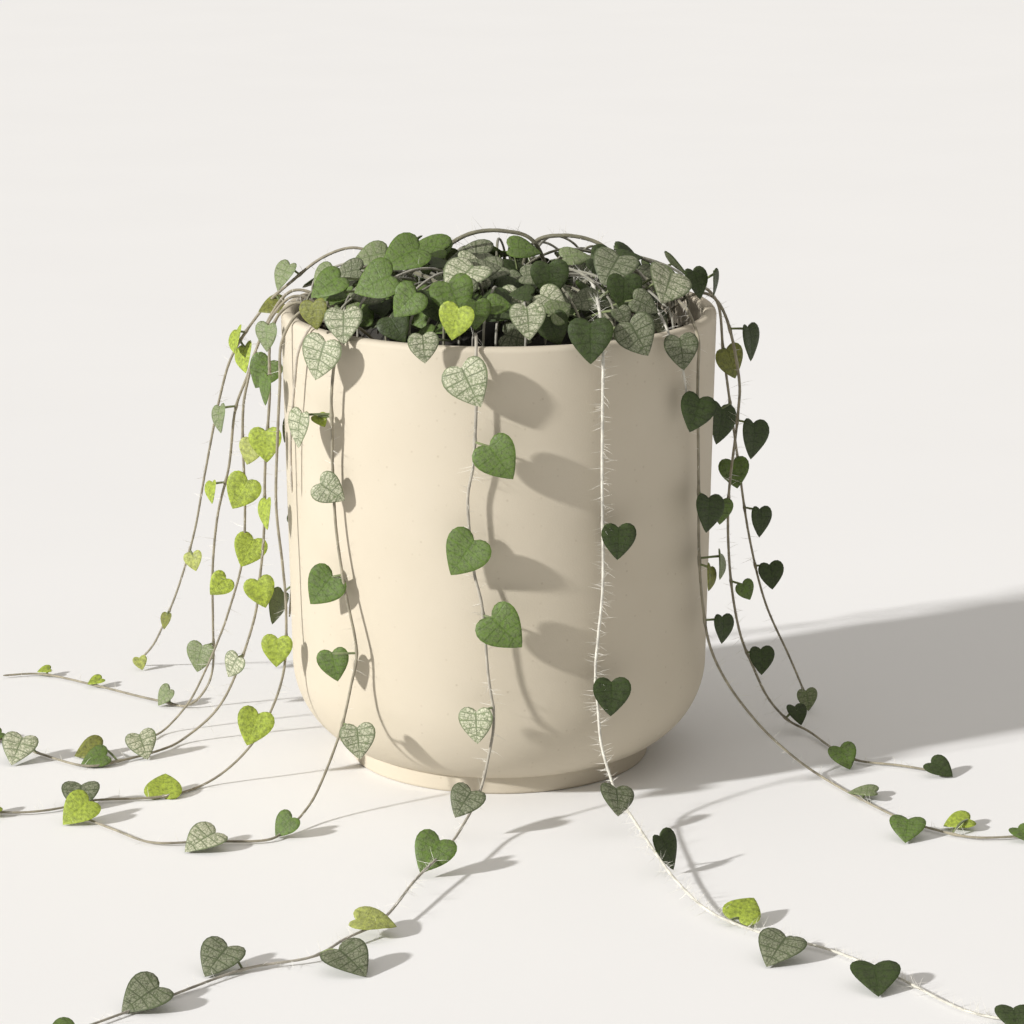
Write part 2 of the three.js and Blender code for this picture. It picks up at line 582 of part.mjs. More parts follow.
// The crown's leaves: first those that are given, then the rest of the dome by rule. Each of
// these takes the first of its tries that stays clear of the vines, of the pot's rim and of
// the leaves before it.
function crownLeaves(vinePoints) {
  const vineCloud = new PointCloud();
  const leafCloud = new PointCloud();
  vineCloud.add(vinePoints);
  const leaves = SHOWN_LEAVES.map(([x, y, z, length, heading, lift, turn]) => {
    const leaf = angledLeaf(new THREE.Vector3(x, y, z), length, heading, lift, turn);
    return { ...leaf, foot: crownFoot(leaf.middle) };
  });
  leaves.forEach((leaf) => leafCloud.add(bladePoints(leaf)));

  const inRim = (point) => point.z < POT_HEIGHT + 1.2 && Math.hypot(point.x, point.y) > 73;
  const blocked = (point) => inRim(point) || vineCloud.near(point, CLEAR_OF_VINES);
  for (let i = 0; i < CROWN_LEAVES; i += 1) {
    for (let attempt = 0; attempt < TRIES; attempt += 1) {
      const leaf = crownLeaf(i, attempt);
      const points = bladePoints(leaf);
      if (points.some(blocked) || stalkPoints(leaf).some(blocked)) continue;
      if (points.some((point) => leafCloud.near(point, CLEAR_OF_LEAVES))) continue;
      leafCloud.add(points);
      leaves.push(leaf);
      break;
    }
  }
  return leaves;
}

function crownSolid(roots, leaves) {
  const arches = ARCHES.map((route) => stemSolid(route));
  const blades = leaves.map((leaf) => solidOf(leafSheet(leaf)));
  return wasm.Manifold.union([coreSolid(roots), ...arches, ...blades]);
}

// ---------------------------------------------------------------- the pot and the soil
// Outer and inner outline of the pot, turned about its axis.
function potProfile() {
  const cornerHeight = FOOT_HEIGHT - 1 + CORNER_RADIUS;
  const cornerCentre = BASE_RADIUS - CORNER_RADIUS;
  const underside = (radius) => cornerHeight
    - Math.sqrt(CORNER_RADIUS ** 2 - (radius - cornerCentre) ** 2);
  const profile = [[0, 0], [FOOT_RADIUS - 1.2, 0], [FOOT_RADIUS, 1.2],
    [FOOT_RADIUS, underside(FOOT_RADIUS)]];
  for (const degrees of [-55, -40, -24, -8]) {
    profile.push([cornerCentre + CORNER_RADIUS * Math.cos(radians(degrees)),
      cornerHeight + CORNER_RADIUS * Math.sin(radians(degrees))]);
  }
  const top = POT_HEIGHT;
  const inner = RIM_RADIUS - WALL;
  profile.push([BASE_RADIUS + 0.4, cornerHeight + 8], [RIM_RADIUS, top - LIP_RADIUS],
    [RIM_RADIUS - 0.6, top - 0.6], [RIM_RADIUS - LIP_RADIUS, top],
    [inner + LIP_RADIUS, top], [inner, top - LIP_RADIUS]);
  return profile.concat(cavityProfile(0));
}

// The inside of the pot from just under the rim to the middle of its floor, drawn inwards by
// a clearance.
function cavityProfile(clearance) {
  const bottom = FLOOR_THICKNESS + clearance;
  const round = CORNER_RADIUS - WALL;
  const lowRadius = BASE_RADIUS - WALL - clearance;
  const centre = BASE_RADIUS - WALL - round;
  const points = [[lowRadius, bottom + round]];
  for (const degrees of [-25, -50, -75]) {
    points.push([centre + (round - clearance) * Math.cos(radians(degrees)),
      bottom + round + (round - clearance) * Math.sin(radians(degrees))]);
  }
  points.push([centre - 2, bottom], [0, bottom]);
  return points;
}

function turned(profile, segments) {
  const outline = profile.map(([x, z]) => new THREE.Vector2(x, z));
  return new THREE.LatheGeometry(outline, segments).rotateX(Math.PI / 2);
}

// The soil fills the pot up to a little under the rim, and has a plain hole for each stem.
function soilSolid(roots) {
  const wallAt = (height) => {
    const share = (height - 46) / (POT_HEIGHT - LIP_RADIUS - 46);
    return BASE_RADIUS - WALL + (RIM_RADIUS - BASE_RADIUS) * share - GAP - 0.1;
  };
  const profile = cavityProfile(GAP).reverse();
  profile.push([wallAt(SOIL_TOP), SOIL_TOP - 1.5], [wallAt(SOIL_TOP) - 4, SOIL_TOP],
    [0, SOIL_TOP]);
  let soil = solidOf(turned(profile, POT_SEGMENTS / 2));
  for (const [x, y] of roots) {
    const hole = new THREE.CylinderGeometry(HOLE_RADIUS, HOLE_RADIUS, 40, 6);
    hole.rotateX(Math.PI / 2).translate(x, y, HOLE_BOTTOM + 20);
    soil = soil.subtract(solidOf(hole));
  }
  return soil;
}

// ---------------------------------------------------------------- the object
const group = new THREE.Group();
group.name = 'string_of_hearts_in_pot';

function addPiece(name, geometry, colour, roughness) {
  const material = new THREE.MeshStandardMaterial({ color: colour, roughness, metalness: 0 });
  const mesh = new THREE.Mesh(geometry, material);
  mesh.name = name;
  group.add(mesh);
}

// The vines with their leaves in place: those at the front, and those at the back by rule.
function frontVine([name, { route, leaves }]) {
  const path = walk(new StemCurve(route));
  return { name, route, leaves: leaves.map((entry) => frontLeaf(path, entry)) };
}

function backVine(entry, i) {
  const [, reach] = entry;
  const route = backRoute(entry);
  const path = walk(new StemCurve(route));
  const random = randomFrom(FIRST_BACK_SEED + i);
  const leaves = [];
  for (let distance = 66; distance < reach - 6; distance += BACK_LEAF_SPACING) {
    const aside = (leaves.length % 2 ? 1 : -1) * (3 + 4 * random());
    const length = 10 + 5 * random();
    leaves.push(backLeaf(path, [distance, aside, length, 20 * (random() - 0.5)], random));
  }
  return { name: `back_${i + 1}`, route, leaves };
}

const vines = [...Object.entries(VINES).map(frontVine), ...BACK_VINES.map(backVine)];
const roots = vines.map(({ route }) => route[0]);
const nearCrown = [];
for (const { name, route, leaves } of vines) {
  const stemPoints = walk(new StemCurve(route)).points;
  nearCrown.push(...stemPoints.filter((point) => point.z > SOIL_TOP - 3));
  for (const leaf of leaves.filter(({ middle }) => middle.z > SOIL_TOP - 8)) {
    nearCrown.push(...bladePoints(leaf), ...stalkPoints(leaf));
  }
  addPiece(`vine_${name}`, geometryOf(vineSolid(route, leaves)), 0x6f8a4a, 0.6);
}
const arching = ARCHES.flatMap((route) => walk(new StemCurve(route)).points);
nearCrown.push(...arching.filter((point) => point.z > CORE_TOP + 3));

addPiece('pot', turned(potProfile(), POT_SEGMENTS), 0xe9e0cf, 0.8);
addPiece('soil', geometryOf(soilSolid(roots)), 0x2e2620, 0.95);
addPiece('crown', geometryOf(crownSolid(roots, crownLeaves(nearCrown))), 0x55704a, 0.6);

export default group;
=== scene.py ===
# %% [markdown]
# # String of hearts in a stoneware pot
#
# A string of hearts is a trailing succulent: thin wiry stems hang over the rim of the pot and
# carry small heart-shaped leaves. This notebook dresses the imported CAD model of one. Every CAD
# solid is replaced by a finer form in the same place: the pot becomes a smooth turned shell,
# each stem a round tapering tube, and each leaf a folded blade with veins, silver marks and a
# green edge. Fine hairs are added last. The lengths below are millimetres, as a grower would
# give them, and they turn to metres only when a mesh is made.

import math

import bpy
import numpy as np
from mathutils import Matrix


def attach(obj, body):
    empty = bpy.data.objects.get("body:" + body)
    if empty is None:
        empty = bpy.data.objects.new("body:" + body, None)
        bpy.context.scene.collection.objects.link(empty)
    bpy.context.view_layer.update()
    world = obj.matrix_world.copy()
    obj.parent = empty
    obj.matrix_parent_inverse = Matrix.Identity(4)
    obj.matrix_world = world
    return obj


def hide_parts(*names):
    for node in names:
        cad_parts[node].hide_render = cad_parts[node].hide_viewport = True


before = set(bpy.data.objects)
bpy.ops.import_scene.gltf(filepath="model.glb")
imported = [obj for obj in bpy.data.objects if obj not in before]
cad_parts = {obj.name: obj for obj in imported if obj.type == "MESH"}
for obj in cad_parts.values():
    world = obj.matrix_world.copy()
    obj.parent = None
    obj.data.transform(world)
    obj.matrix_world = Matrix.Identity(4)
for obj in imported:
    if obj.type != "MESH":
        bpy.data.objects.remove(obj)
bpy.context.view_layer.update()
print("CAD nodes:", len(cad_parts))

# %% [markdown]
# ## Small tools
#
# Colours are picked as sRGB hex values, the way a paint chart gives them, and Blender's shaders
# want linear light, so one function turns one into the other. Another adds a shader node
# together with its settings and its links. The short ones after it are the few nodes that every
# material here is built of, which keeps each material short enough to read.

# %% Colours and nodes
MM = 0.001


def linear(hex_colour):
    """A channel c of an sRGB colour is ((c + 0.055) / 1.055) to the power 2.4 in linear light,
    or c / 12.92 where it is very dark."""
    channels = [int(hex_colour[i:i + 2], 16) / 255 for i in (1, 3, 5)]
    return [c / 12.92 if c <= 0.04045 else ((c + 0.055) / 1.055) ** 2.4 for c in channels]


def add_node(tree, kind, inputs=None, **settings):
    """Adds one node. settings are its own options, inputs its sockets by name or number: a
    socket of another node is linked, and anything else is set as the value."""
    node = tree.nodes.new(kind)
    for name, value in settings.items():
        setattr(node, name, value)
    for name, value in (inputs or {}).items():
        if isinstance(value, bpy.types.NodeSocket):
            tree.links.new(value, node.inputs[name])
        elif isinstance(value, str):
            node.inputs[name].default_value = (*linear(value), 1)
        else:
            node.inputs[name].default_value = value
    return node


def add_object(name, data):
    """An object of this data, linked into the scene."""
    made = bpy.data.objects.new(name, data)
    bpy.context.collection.objects.link(made)
    return made


def new_material(name):
    """An empty node material and its tree."""
    material = bpy.data.materials.new(name)
    material.use_nodes = True
    material.node_tree.nodes.clear()
    return material, material.node_tree


def place_on(tree):
    """Where a point lies on the object, in metres."""
    return add_node(tree, "ShaderNodeTexCoord").outputs["Object"]


def mark_of(tree, name):
    """The mark of this name that the mesh carries at each point."""
    return add_node(tree, "ShaderNodeAttribute", attribute_name=name).outputs["Vector"]


def noise(tree, place, scale, detail=2.0, roughness=0.5):
    """Soft random patches. The scale is how many there are to each metre of an object's place,
    or to each mm of a blade's."""
    return add_node(tree, "ShaderNodeTexNoise", {"Vector": place, "Scale": scale, "Detail": detail,
                                                 "Roughness": roughness}).outputs["Fac"]


def mixed(tree, share, first, second):
    """A colour between two: the first where the share is 0 and the second where it is 1."""
    return add_node(tree, "ShaderNodeMix", {0: share, 6: first, 7: second},
                    data_type="RGBA").outputs[2]


def ranged(tree, value, low, high, at_low, at_high):
    """at_low up to the low value, at_high from the high one on, and a straight line between."""
    return add_node(tree, "ShaderNodeMapRange",
                    {0: value, 1: low, 2: high, 3: at_low, 4: at_high}).outputs[0]


def maths(tree, operation, first, second=0.0, **settings):
    """One sum on two values."""
    return add_node(tree, "ShaderNodeMath", {0: first, 1: second}, operation=operation,
                    **settings).outputs[0]


def scaled(tree, colour, share):
    """A colour made brighter or darker."""
    return add_node(tree, "ShaderNodeVectorMath", {0: colour, "Scale": share},
                    operation="SCALE").outputs[0]


def relief(tree, height, strength, depth):
    """The slopes of a surface that is rough to a depth in mm."""
    return add_node(tree, "ShaderNodeBump", {"Height": height, "Strength": strength,
                                             "Distance": depth * MM}).outputs[0]


def finish_surface(tree, **inputs):
    """The shader that ends every material here, with its sockets named in words."""
    surface = add_node(tree, "ShaderNodeBsdfPrincipled",
                       {name.replace("_", " "): value for name, value in inputs.items()})
    add_node(tree, "ShaderNodeOutputMaterial", {"Surface": surface.outputs[0]})


print("#808080 in linear light:", round(linear("#808080")[0], 3))

# %% [markdown]
# ## Meshes from arrays
#
# A stem, a leaf blade, a hair and the pot itself all have the same make-up: a row of closed
# rings with a point at each end. So one function gives the faces of any such form, and the
# shape is only a matter of where the points lie. The points of a whole bunch of leaves are one
# array, worked out at once.

# %% Rings and pieces
def ring_faces(rows, ring):
    """Faces of rings between two end points: four-sided faces join each ring to the next, and
    a fan of triangles closes each end. Points run: end point, rings in order, end point."""
    k = np.arange(ring)
    beside = (k + 1) % ring
    first = 1 + ring * np.arange(rows - 1)[:, None]
    quads = np.stack([first + k, first + beside, first + ring + beside, first + ring + k], -1)
    last = 1 + ring * (rows - 1)
    start = np.stack([0 * k, 1 + beside, 1 + k], -1)
    end = np.stack([0 * k + last + ring, last + k, last + beside], -1)
    return quads.reshape(-1, 4), np.vstack([start, end])


def bunch(points, rows, ring, **marks):
    """A bunch of forms of the same make-up: points is (forms, points in each, 3) in mm, and
    marks are what the materials read at each point, three numbers each."""
    forms, each = points.shape[:2]
    quads, triangles = ring_faces(rows, ring)
    shift = each * np.arange(forms)[:, None, None]
    return {
        "points": points.reshape(-1, 3),
        "quads": (quads + shift).reshape(-1, 4),
        "triangles": (triangles + shift).reshape(-1, 3),
        "marks": {name: np.broadcast_to(values, (forms, each, 3)).reshape(-1, 3)
                  for name, values in marks.items()},
    }


def volume_of(points, triangles):
    """Volume inside a closed mesh: a sixth of the sum of each triangle's triple product."""
    a, b, c = (points[triangles[:, k]] for k in range(3))
    return np.einsum("ij,ij->i", a, np.cross(b, c)).sum() / 6


def new_piece(name, bunches, material, replaced=(), sharp=60):
    """One object out of bunches of forms. It rides on the part's only body, and edges that
    turn more than the sharp angle, in degrees, keep a crisp line."""
    counts = np.cumsum([0] + [len(b["points"]) for b in bunches])
    points = np.vstack([b["points"] for b in bunches]) * MM
    quads = np.vstack([b["quads"] + n for b, n in zip(bunches, counts)])
    triangles = np.vstack([b["triangles"] + n for b, n in zip(bunches, counts)])
    mesh = bpy.data.meshes.new(name)
    mesh.from_pydata(points, [], quads.tolist() + triangles.tolist())
    for mark in bunches[0]["marks"]:
        values = np.vstack([b["marks"][mark] for b in bunches])
        attribute = mesh.attributes.new(mark, "FLOAT_VECTOR", "POINT")
        attribute.data.foreach_set("vector", values.astype(np.float32).ravel())
    mesh.shade_smooth()
    mesh.set_sharp_from_angle(angle=math.radians(sharp))
    mesh.materials.append(material)
    piece = add_object(name, mesh)
    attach(piece, "root")
    if replaced:
        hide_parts(*replaced)
    flat = np.vstack([quads[:, [0, 1, 2]], quads[:, [0, 2, 3]], triangles])
    volume = volume_of(points, flat) * 1e6
    print(f"{name}: {len(flat)} triangles, {volume:.2f} ml, lowest {points[:, 2].min():.4f} m")
    return piece


def unit(vectors):
    """Vectors of length one in the same directions."""
    return vectors / np.linalg.norm(vectors, axis=-1, keepdims=True)


# %% [markdown]
# ## Camera, floor and light
#
# The pot stands on a plain pale floor that runs on until it is out of sight. One low sun from
# the left front, a little soft, draws the leaves' shadows on the pot, and a soft light from
# overhead fills them. The camera is a long lens that looks slightly down.

# %% Camera
FILM_WIDTH = 36  # mm
PIXELS_ACROSS = 1024
FOCAL_IN_PIXELS = 3450
FOCAL = FOCAL_IN_PIXELS * FILM_WIDTH / PIXELS_ACROSS
LOOK_DOWN = 0.2415  # radians
LOOK_RIGHT = 0.0055
EYE = (-0.002, -1.25, 0.4)  # metres

camera = bpy.data.cameras.new("camera")
camera.lens = FOCAL
camera.sensor_width = FILM_WIDTH
camera.clip_end = 100
viewer = add_object("camera", camera)
viewer.location = EYE
viewer.rotation_euler = (math.pi / 2 - LOOK_DOWN, 0, -LOOK_RIGHT)
bpy.context.scene.camera = viewer
bpy.context.scene.view_settings.view_transform = "Standard"
print(f"lens {FOCAL:.1f} mm, looking down {math.degrees(LOOK_DOWN):.1f} degrees")

# %% Floor
floor_paint, tree = new_material("matt_white_floor_paint")
patches = noise(tree, place_on(tree), 6.0, 4.0)
finish_surface(tree, Base_Color=mixed(tree, patches, "#f1f1f1", "#ededed"), Roughness=0.85)

FLOOR_REACH = 30.0  # metres, far enough to leave the view as a plain ground
mesh = bpy.data.meshes.new("floor")
corners = [(-FLOOR_REACH, -FLOOR_REACH, 0), (FLOOR_REACH, -FLOOR_REACH, 0),
           (FLOOR_REACH, FLOOR_REACH, 0), (-FLOOR_REACH, FLOOR_REACH, 0)]
mesh.from_pydata(corners, [], [(0, 1, 2, 3)])
mesh.materials.append(floor_paint)
floor = add_object("floor", mesh)

# %% Sun and sky
SUN_TRAVELS = (0.83, 0.45, -0.44)  # the way the light goes
SUN_STRENGTH = 4.1
SUN_WIDTH = 3.0  # degrees across, which softens the shadows
SKY_LOW, SKY_HIGH = 0.03, 0.72  # strength of the soft light from the side and from overhead

light = bpy.data.lights.new("sun", "SUN")
light.energy = SUN_STRENGTH
light.angle = math.radians(SUN_WIDTH)
light.color = linear("#fffdfb")
sun = add_object("sun", light)
across = math.atan2(SUN_TRAVELS[1], SUN_TRAVELS[0])
level = math.hypot(SUN_TRAVELS[0], SUN_TRAVELS[1])
sun.rotation_euler = (math.atan2(level, -SUN_TRAVELS[2]), 0, across - math.pi / 2)

world = bpy.data.worlds.new("soft_room")
bpy.context.scene.world = world
world.use_nodes = True
tree = world.node_tree
tree.nodes.clear()
seen = add_node(tree, "ShaderNodeLightPath").outputs["Is Camera Ray"]
towards = add_node(tree, "ShaderNodeTexCoord").outputs["Generated"]
height = add_node(tree, "ShaderNodeSeparateXYZ", {0: towards}).outputs["Z"]
strength = ranged(tree, height, 0.0, 1.0, SKY_LOW, SKY_HIGH)
fill = add_node(tree, "ShaderNodeBackground", {"Color": "#fffaf3", "Strength": strength})
backdrop = add_node(tree, "ShaderNodeBackground", {"Color": "#f1efec", "Strength": 1.0})
sky = add_node(tree, "ShaderNodeMixShader",
               {0: seen, 1: fill.outputs[0], 2: backdrop.outputs[0]})
add_node(tree, "ShaderNodeOutputWorld", {"Surface": sky.outputs[0]})
print(f"sun {math.degrees(math.atan2(-SUN_TRAVELS[2], level)):.0f} degrees above the floor")

# %% [markdown]
# ## The pot
#
# The pot is stoneware: a fired clay with a matt cream surface and fine dark specks from iron in
# the body. It was turned, so it is one outline carried round an axis: up the outside from the
# foot, over the rounded lip and down the inside. A lathe of short steps gives the corner and
# the lip their true roundness.

# %% Stoneware
stoneware, tree = new_material("matt_speckled_stoneware")
place = place_on(tree)
clouds = noise(tree, place, 28.0, 5.0, 0.6)
body_tint = mixed(tree, clouds, "#cec5b3", "#c6bca8")
# Iron specks have a dark core of 0.3 mm, fade out to 1.2 mm and lie some 3 mm apart.
grains = add_node(tree, "ShaderNodeTexVoronoi", {"Vector": place, "Scale": 330.0})
speck = ranged(tree, grains.outputs["Distance"], 0.05, 0.2, 1.0, 0.0)
chosen = add_node(tree, "ShaderNodeSeparateColor", {"Color": grains.outputs["Color"]})
some = ranged(tree, chosen.outputs["Red"], 0.6, 1.0, 0.0, 0.3)
speckled = mixed(tree, maths(tree, "MULTIPLY", speck, some), body_tint, "#8f7d61")
# The fired surface is as fine as eggshell, with a grain of about 0.7 mm.
tooth = noise(tree, place, 1500.0, 3.0)
finish_surface(tree, Base_Color=speckled, Roughness=0.72, Specular_IOR_Level=0.3,
               Normal=relief(tree, tooth, 0.25, 0.15))

# %% Pot outline
POT_HEIGHT = 170
RIM_RADIUS = 80
BASE_RADIUS = 77.6
CORNER_RADIUS = 34
FOOT_RADIUS = 56
FOOT_HEIGHT = 5
FOOT_EDGE = 1.2  # rounding of the edge that it stands on
WALL = 5
LIP_RADIUS = 2
FLOOR_THICKNESS = 9
POT_SEGMENTS = 192


def arc(centre, radius, start, end, count):
    """Points on a circle: centre plus radius times (cosine, sine) of evenly spaced angles."""
    turn = np.radians(np.linspace(start, end, count))
    return np.column_stack([centre[0] + radius * np.cos(turn),
                            centre[1] + radius * np.sin(turn)])


def steps_between(start, end, count):
    """Evenly spaced points on the line between two points, without the points themselves."""
    share = np.linspace(0, 1, count + 2)[1:-1, None]
    return (1 - share) * np.array(start, float) + share * np.array(end, float)


def pot_outline():
    """Distance from the axis and height, from the middle of the foot round the outside, over
    the lip and down the inside to the middle of the pot's floor."""
    corner = (BASE_RADIUS - CORNER_RADIUS, FOOT_HEIGHT - 1 + CORNER_RADIUS)
    reach = FOOT_RADIUS - corner[0]
    foot_turn = -math.degrees(math.acos(reach / CORNER_RADIUS))
    inner = RIM_RADIUS - WALL
    top = POT_HEIGHT - LIP_RADIUS
    round_inside = CORNER_RADIUS - WALL
    low = FLOOR_THICKNESS + round_inside
    return np.vstack([
        steps_between((0, 0), (FOOT_RADIUS - FOOT_EDGE, 0), 6),
        arc((FOOT_RADIUS - FOOT_EDGE, FOOT_EDGE), FOOT_EDGE, -90, 0, 5),
        arc(corner, CORNER_RADIUS, foot_turn, -3, 22),
        steps_between((BASE_RADIUS, corner[1]), (RIM_RADIUS, top), 20),
        arc((RIM_RADIUS - LIP_RADIUS, top), LIP_RADIUS, 0, 90, 7),
        arc((inner + LIP_RADIUS, top), LIP_RADIUS, 90, 180, 7),
        steps_between((inner, top), (BASE_RADIUS - WALL, low), 12),
        arc((BASE_RADIUS - WALL - round_inside, low), round_inside, 0, -90, 12),
        steps_between((BASE_RADIUS - WALL - round_inside, FLOOR_THICKNESS),
                      (0, FLOOR_THICKNESS), 4),
    ])


def turned(outline, segments, bottom, top):
    """A turned form: each outline point (radius, height) goes round as (radius * cosine,
    radius * sine, height), between end points on the axis at the bottom and top heights."""
    turn = 2 * math.pi * np.arange(segments) / segments
    rings = np.empty((len(outline), segments, 3))
    rings[..., 0] = outline[:, :1] * np.cos(turn)
    rings[..., 1] = outline[:, :1] * np.sin(turn)
    rings[..., 2] = outline[:, 1:]
    return np.vstack([[(0, 0, bottom)], rings.reshape(-1, 3), [(0, 0, top)]])


outline = pot_outline()
pot_points = turned(outline, POT_SEGMENTS, 0, FLOOR_THICKNESS)
new_piece("stoneware_pot", [bunch(pot_points[None], len(outline), POT_SEGMENTS)], stoneware,
          ["pot"], sharp=50)

# %% [markdown]
# ## The soil
#
# Potting soil is dark crumbs of peat and bark. The bed is a turned form that fills the pot, and
# its top is pushed up and down at random. Loose crumbs, each a small eight-faced pebble, lie on
# it, because at this size a bump alone looks painted on. The peat's tint changes every 2.4 mm.

# %% Random numbers
def random_from(seed):
    """Repeatable numbers from 0 to 1: each state is the last one times 1664525 plus
    1013904223, counted round at 2 to the power 32."""
    state = seed
    while True:
        state = (state * 1664525 + 1013904223) % 4294967296
        yield state / 4294967296


dice = np.random.default_rng(2159)  # for details that are too small to matter one by one

# %% Peat
peat, tree = new_material("moist_peat")
crumbs = noise(tree, place_on(tree), 420.0, 6.0)
finish_surface(tree, Base_Color=mixed(tree, crumbs, "#17110b", "#3a2c1f"), Roughness=0.95,
               Normal=relief(tree, crumbs, 0.6, 1.0))

# %% Bed and crumbs
SOIL_BOTTOM = 9.4
SOIL_TOP = 158
SOIL_REACH = 73.5
SOIL_RINGS = 40
SOIL_SEGMENTS = 160
HEAP_HEIGHT = 0.35
CRUMBS = 1400
SMALLEST_CRUMB, CRUMB_RANGE = 0.5, 1.3

side = np.array([(0.1, SOIL_BOTTOM), (40, SOIL_BOTTOM), (58, 14), (69, 27), (72.1, 40),
                 (SOIL_REACH, 150)])
top = steps_between((SOIL_REACH, SOIL_TOP - 1), (0, SOIL_TOP), SOIL_RINGS)
outline = np.vstack([side, top])
points = turned(outline, SOIL_SEGMENTS, SOIL_BOTTOM, SOIL_TOP)
loose = slice(1 + (len(side) + 2) * SOIL_SEGMENTS, -1)
heaps = dice.normal(0, 1, (SOIL_RINGS - 2, SOIL_SEGMENTS))
for _ in range(2):  # neighbours share their height a little, so the heaps are rounded
    heaps = (heaps + np.roll(heaps, 1, 1) + np.roll(heaps, -1, 1)
             + np.roll(heaps, 1, 0)) / 3
points[loose, 2] += HEAP_HEIGHT * heaps.ravel()
bed = bunch(points[None], len(outline), SOIL_SEGMENTS)

radius = (SOIL_REACH - 0.5) * np.sqrt(dice.random(CRUMBS))
turn = 2 * math.pi * dice.random(CRUMBS)
centres = np.column_stack([radius * np.cos(turn), radius * np.sin(turn),
                           np.full(CRUMBS, SOIL_TOP + 0.2)])
pebble = np.array([(0, 0, -1), (1, 0, 0), (0, 1, 0), (-1, 0, 0), (0, -1, 0), (0, 0, 1)])
sizes = SMALLEST_CRUMB + CRUMB_RANGE * dice.random((CRUMBS, 1, 1)) ** 2
shapes = pebble * sizes * (0.7 + 0.6 * dice.random((CRUMBS, 6, 3)))
new_piece("potting_soil", [bed, bunch(shapes + centres[:, None], 1, 4)], peat, ["soil"])

# %% [markdown]
# ## Routes of the vines
#
# Each vine is the list of points that its stem passes through, from its hole in the soil to
# its tip. A leaf is a letter for its colouring, its distance along the stem, how far its middle
# lies to the stem's right, its length, which way its tip points as seen from the front (in
# degrees: 0 is right and -90 is down) and how far it turns to the right. A last value, where
# there is one, says how far it looks up. The vines at the back follow a rule instead. All of it
# repeats the CAD model's own values, so that the fine forms lie where the solids are.

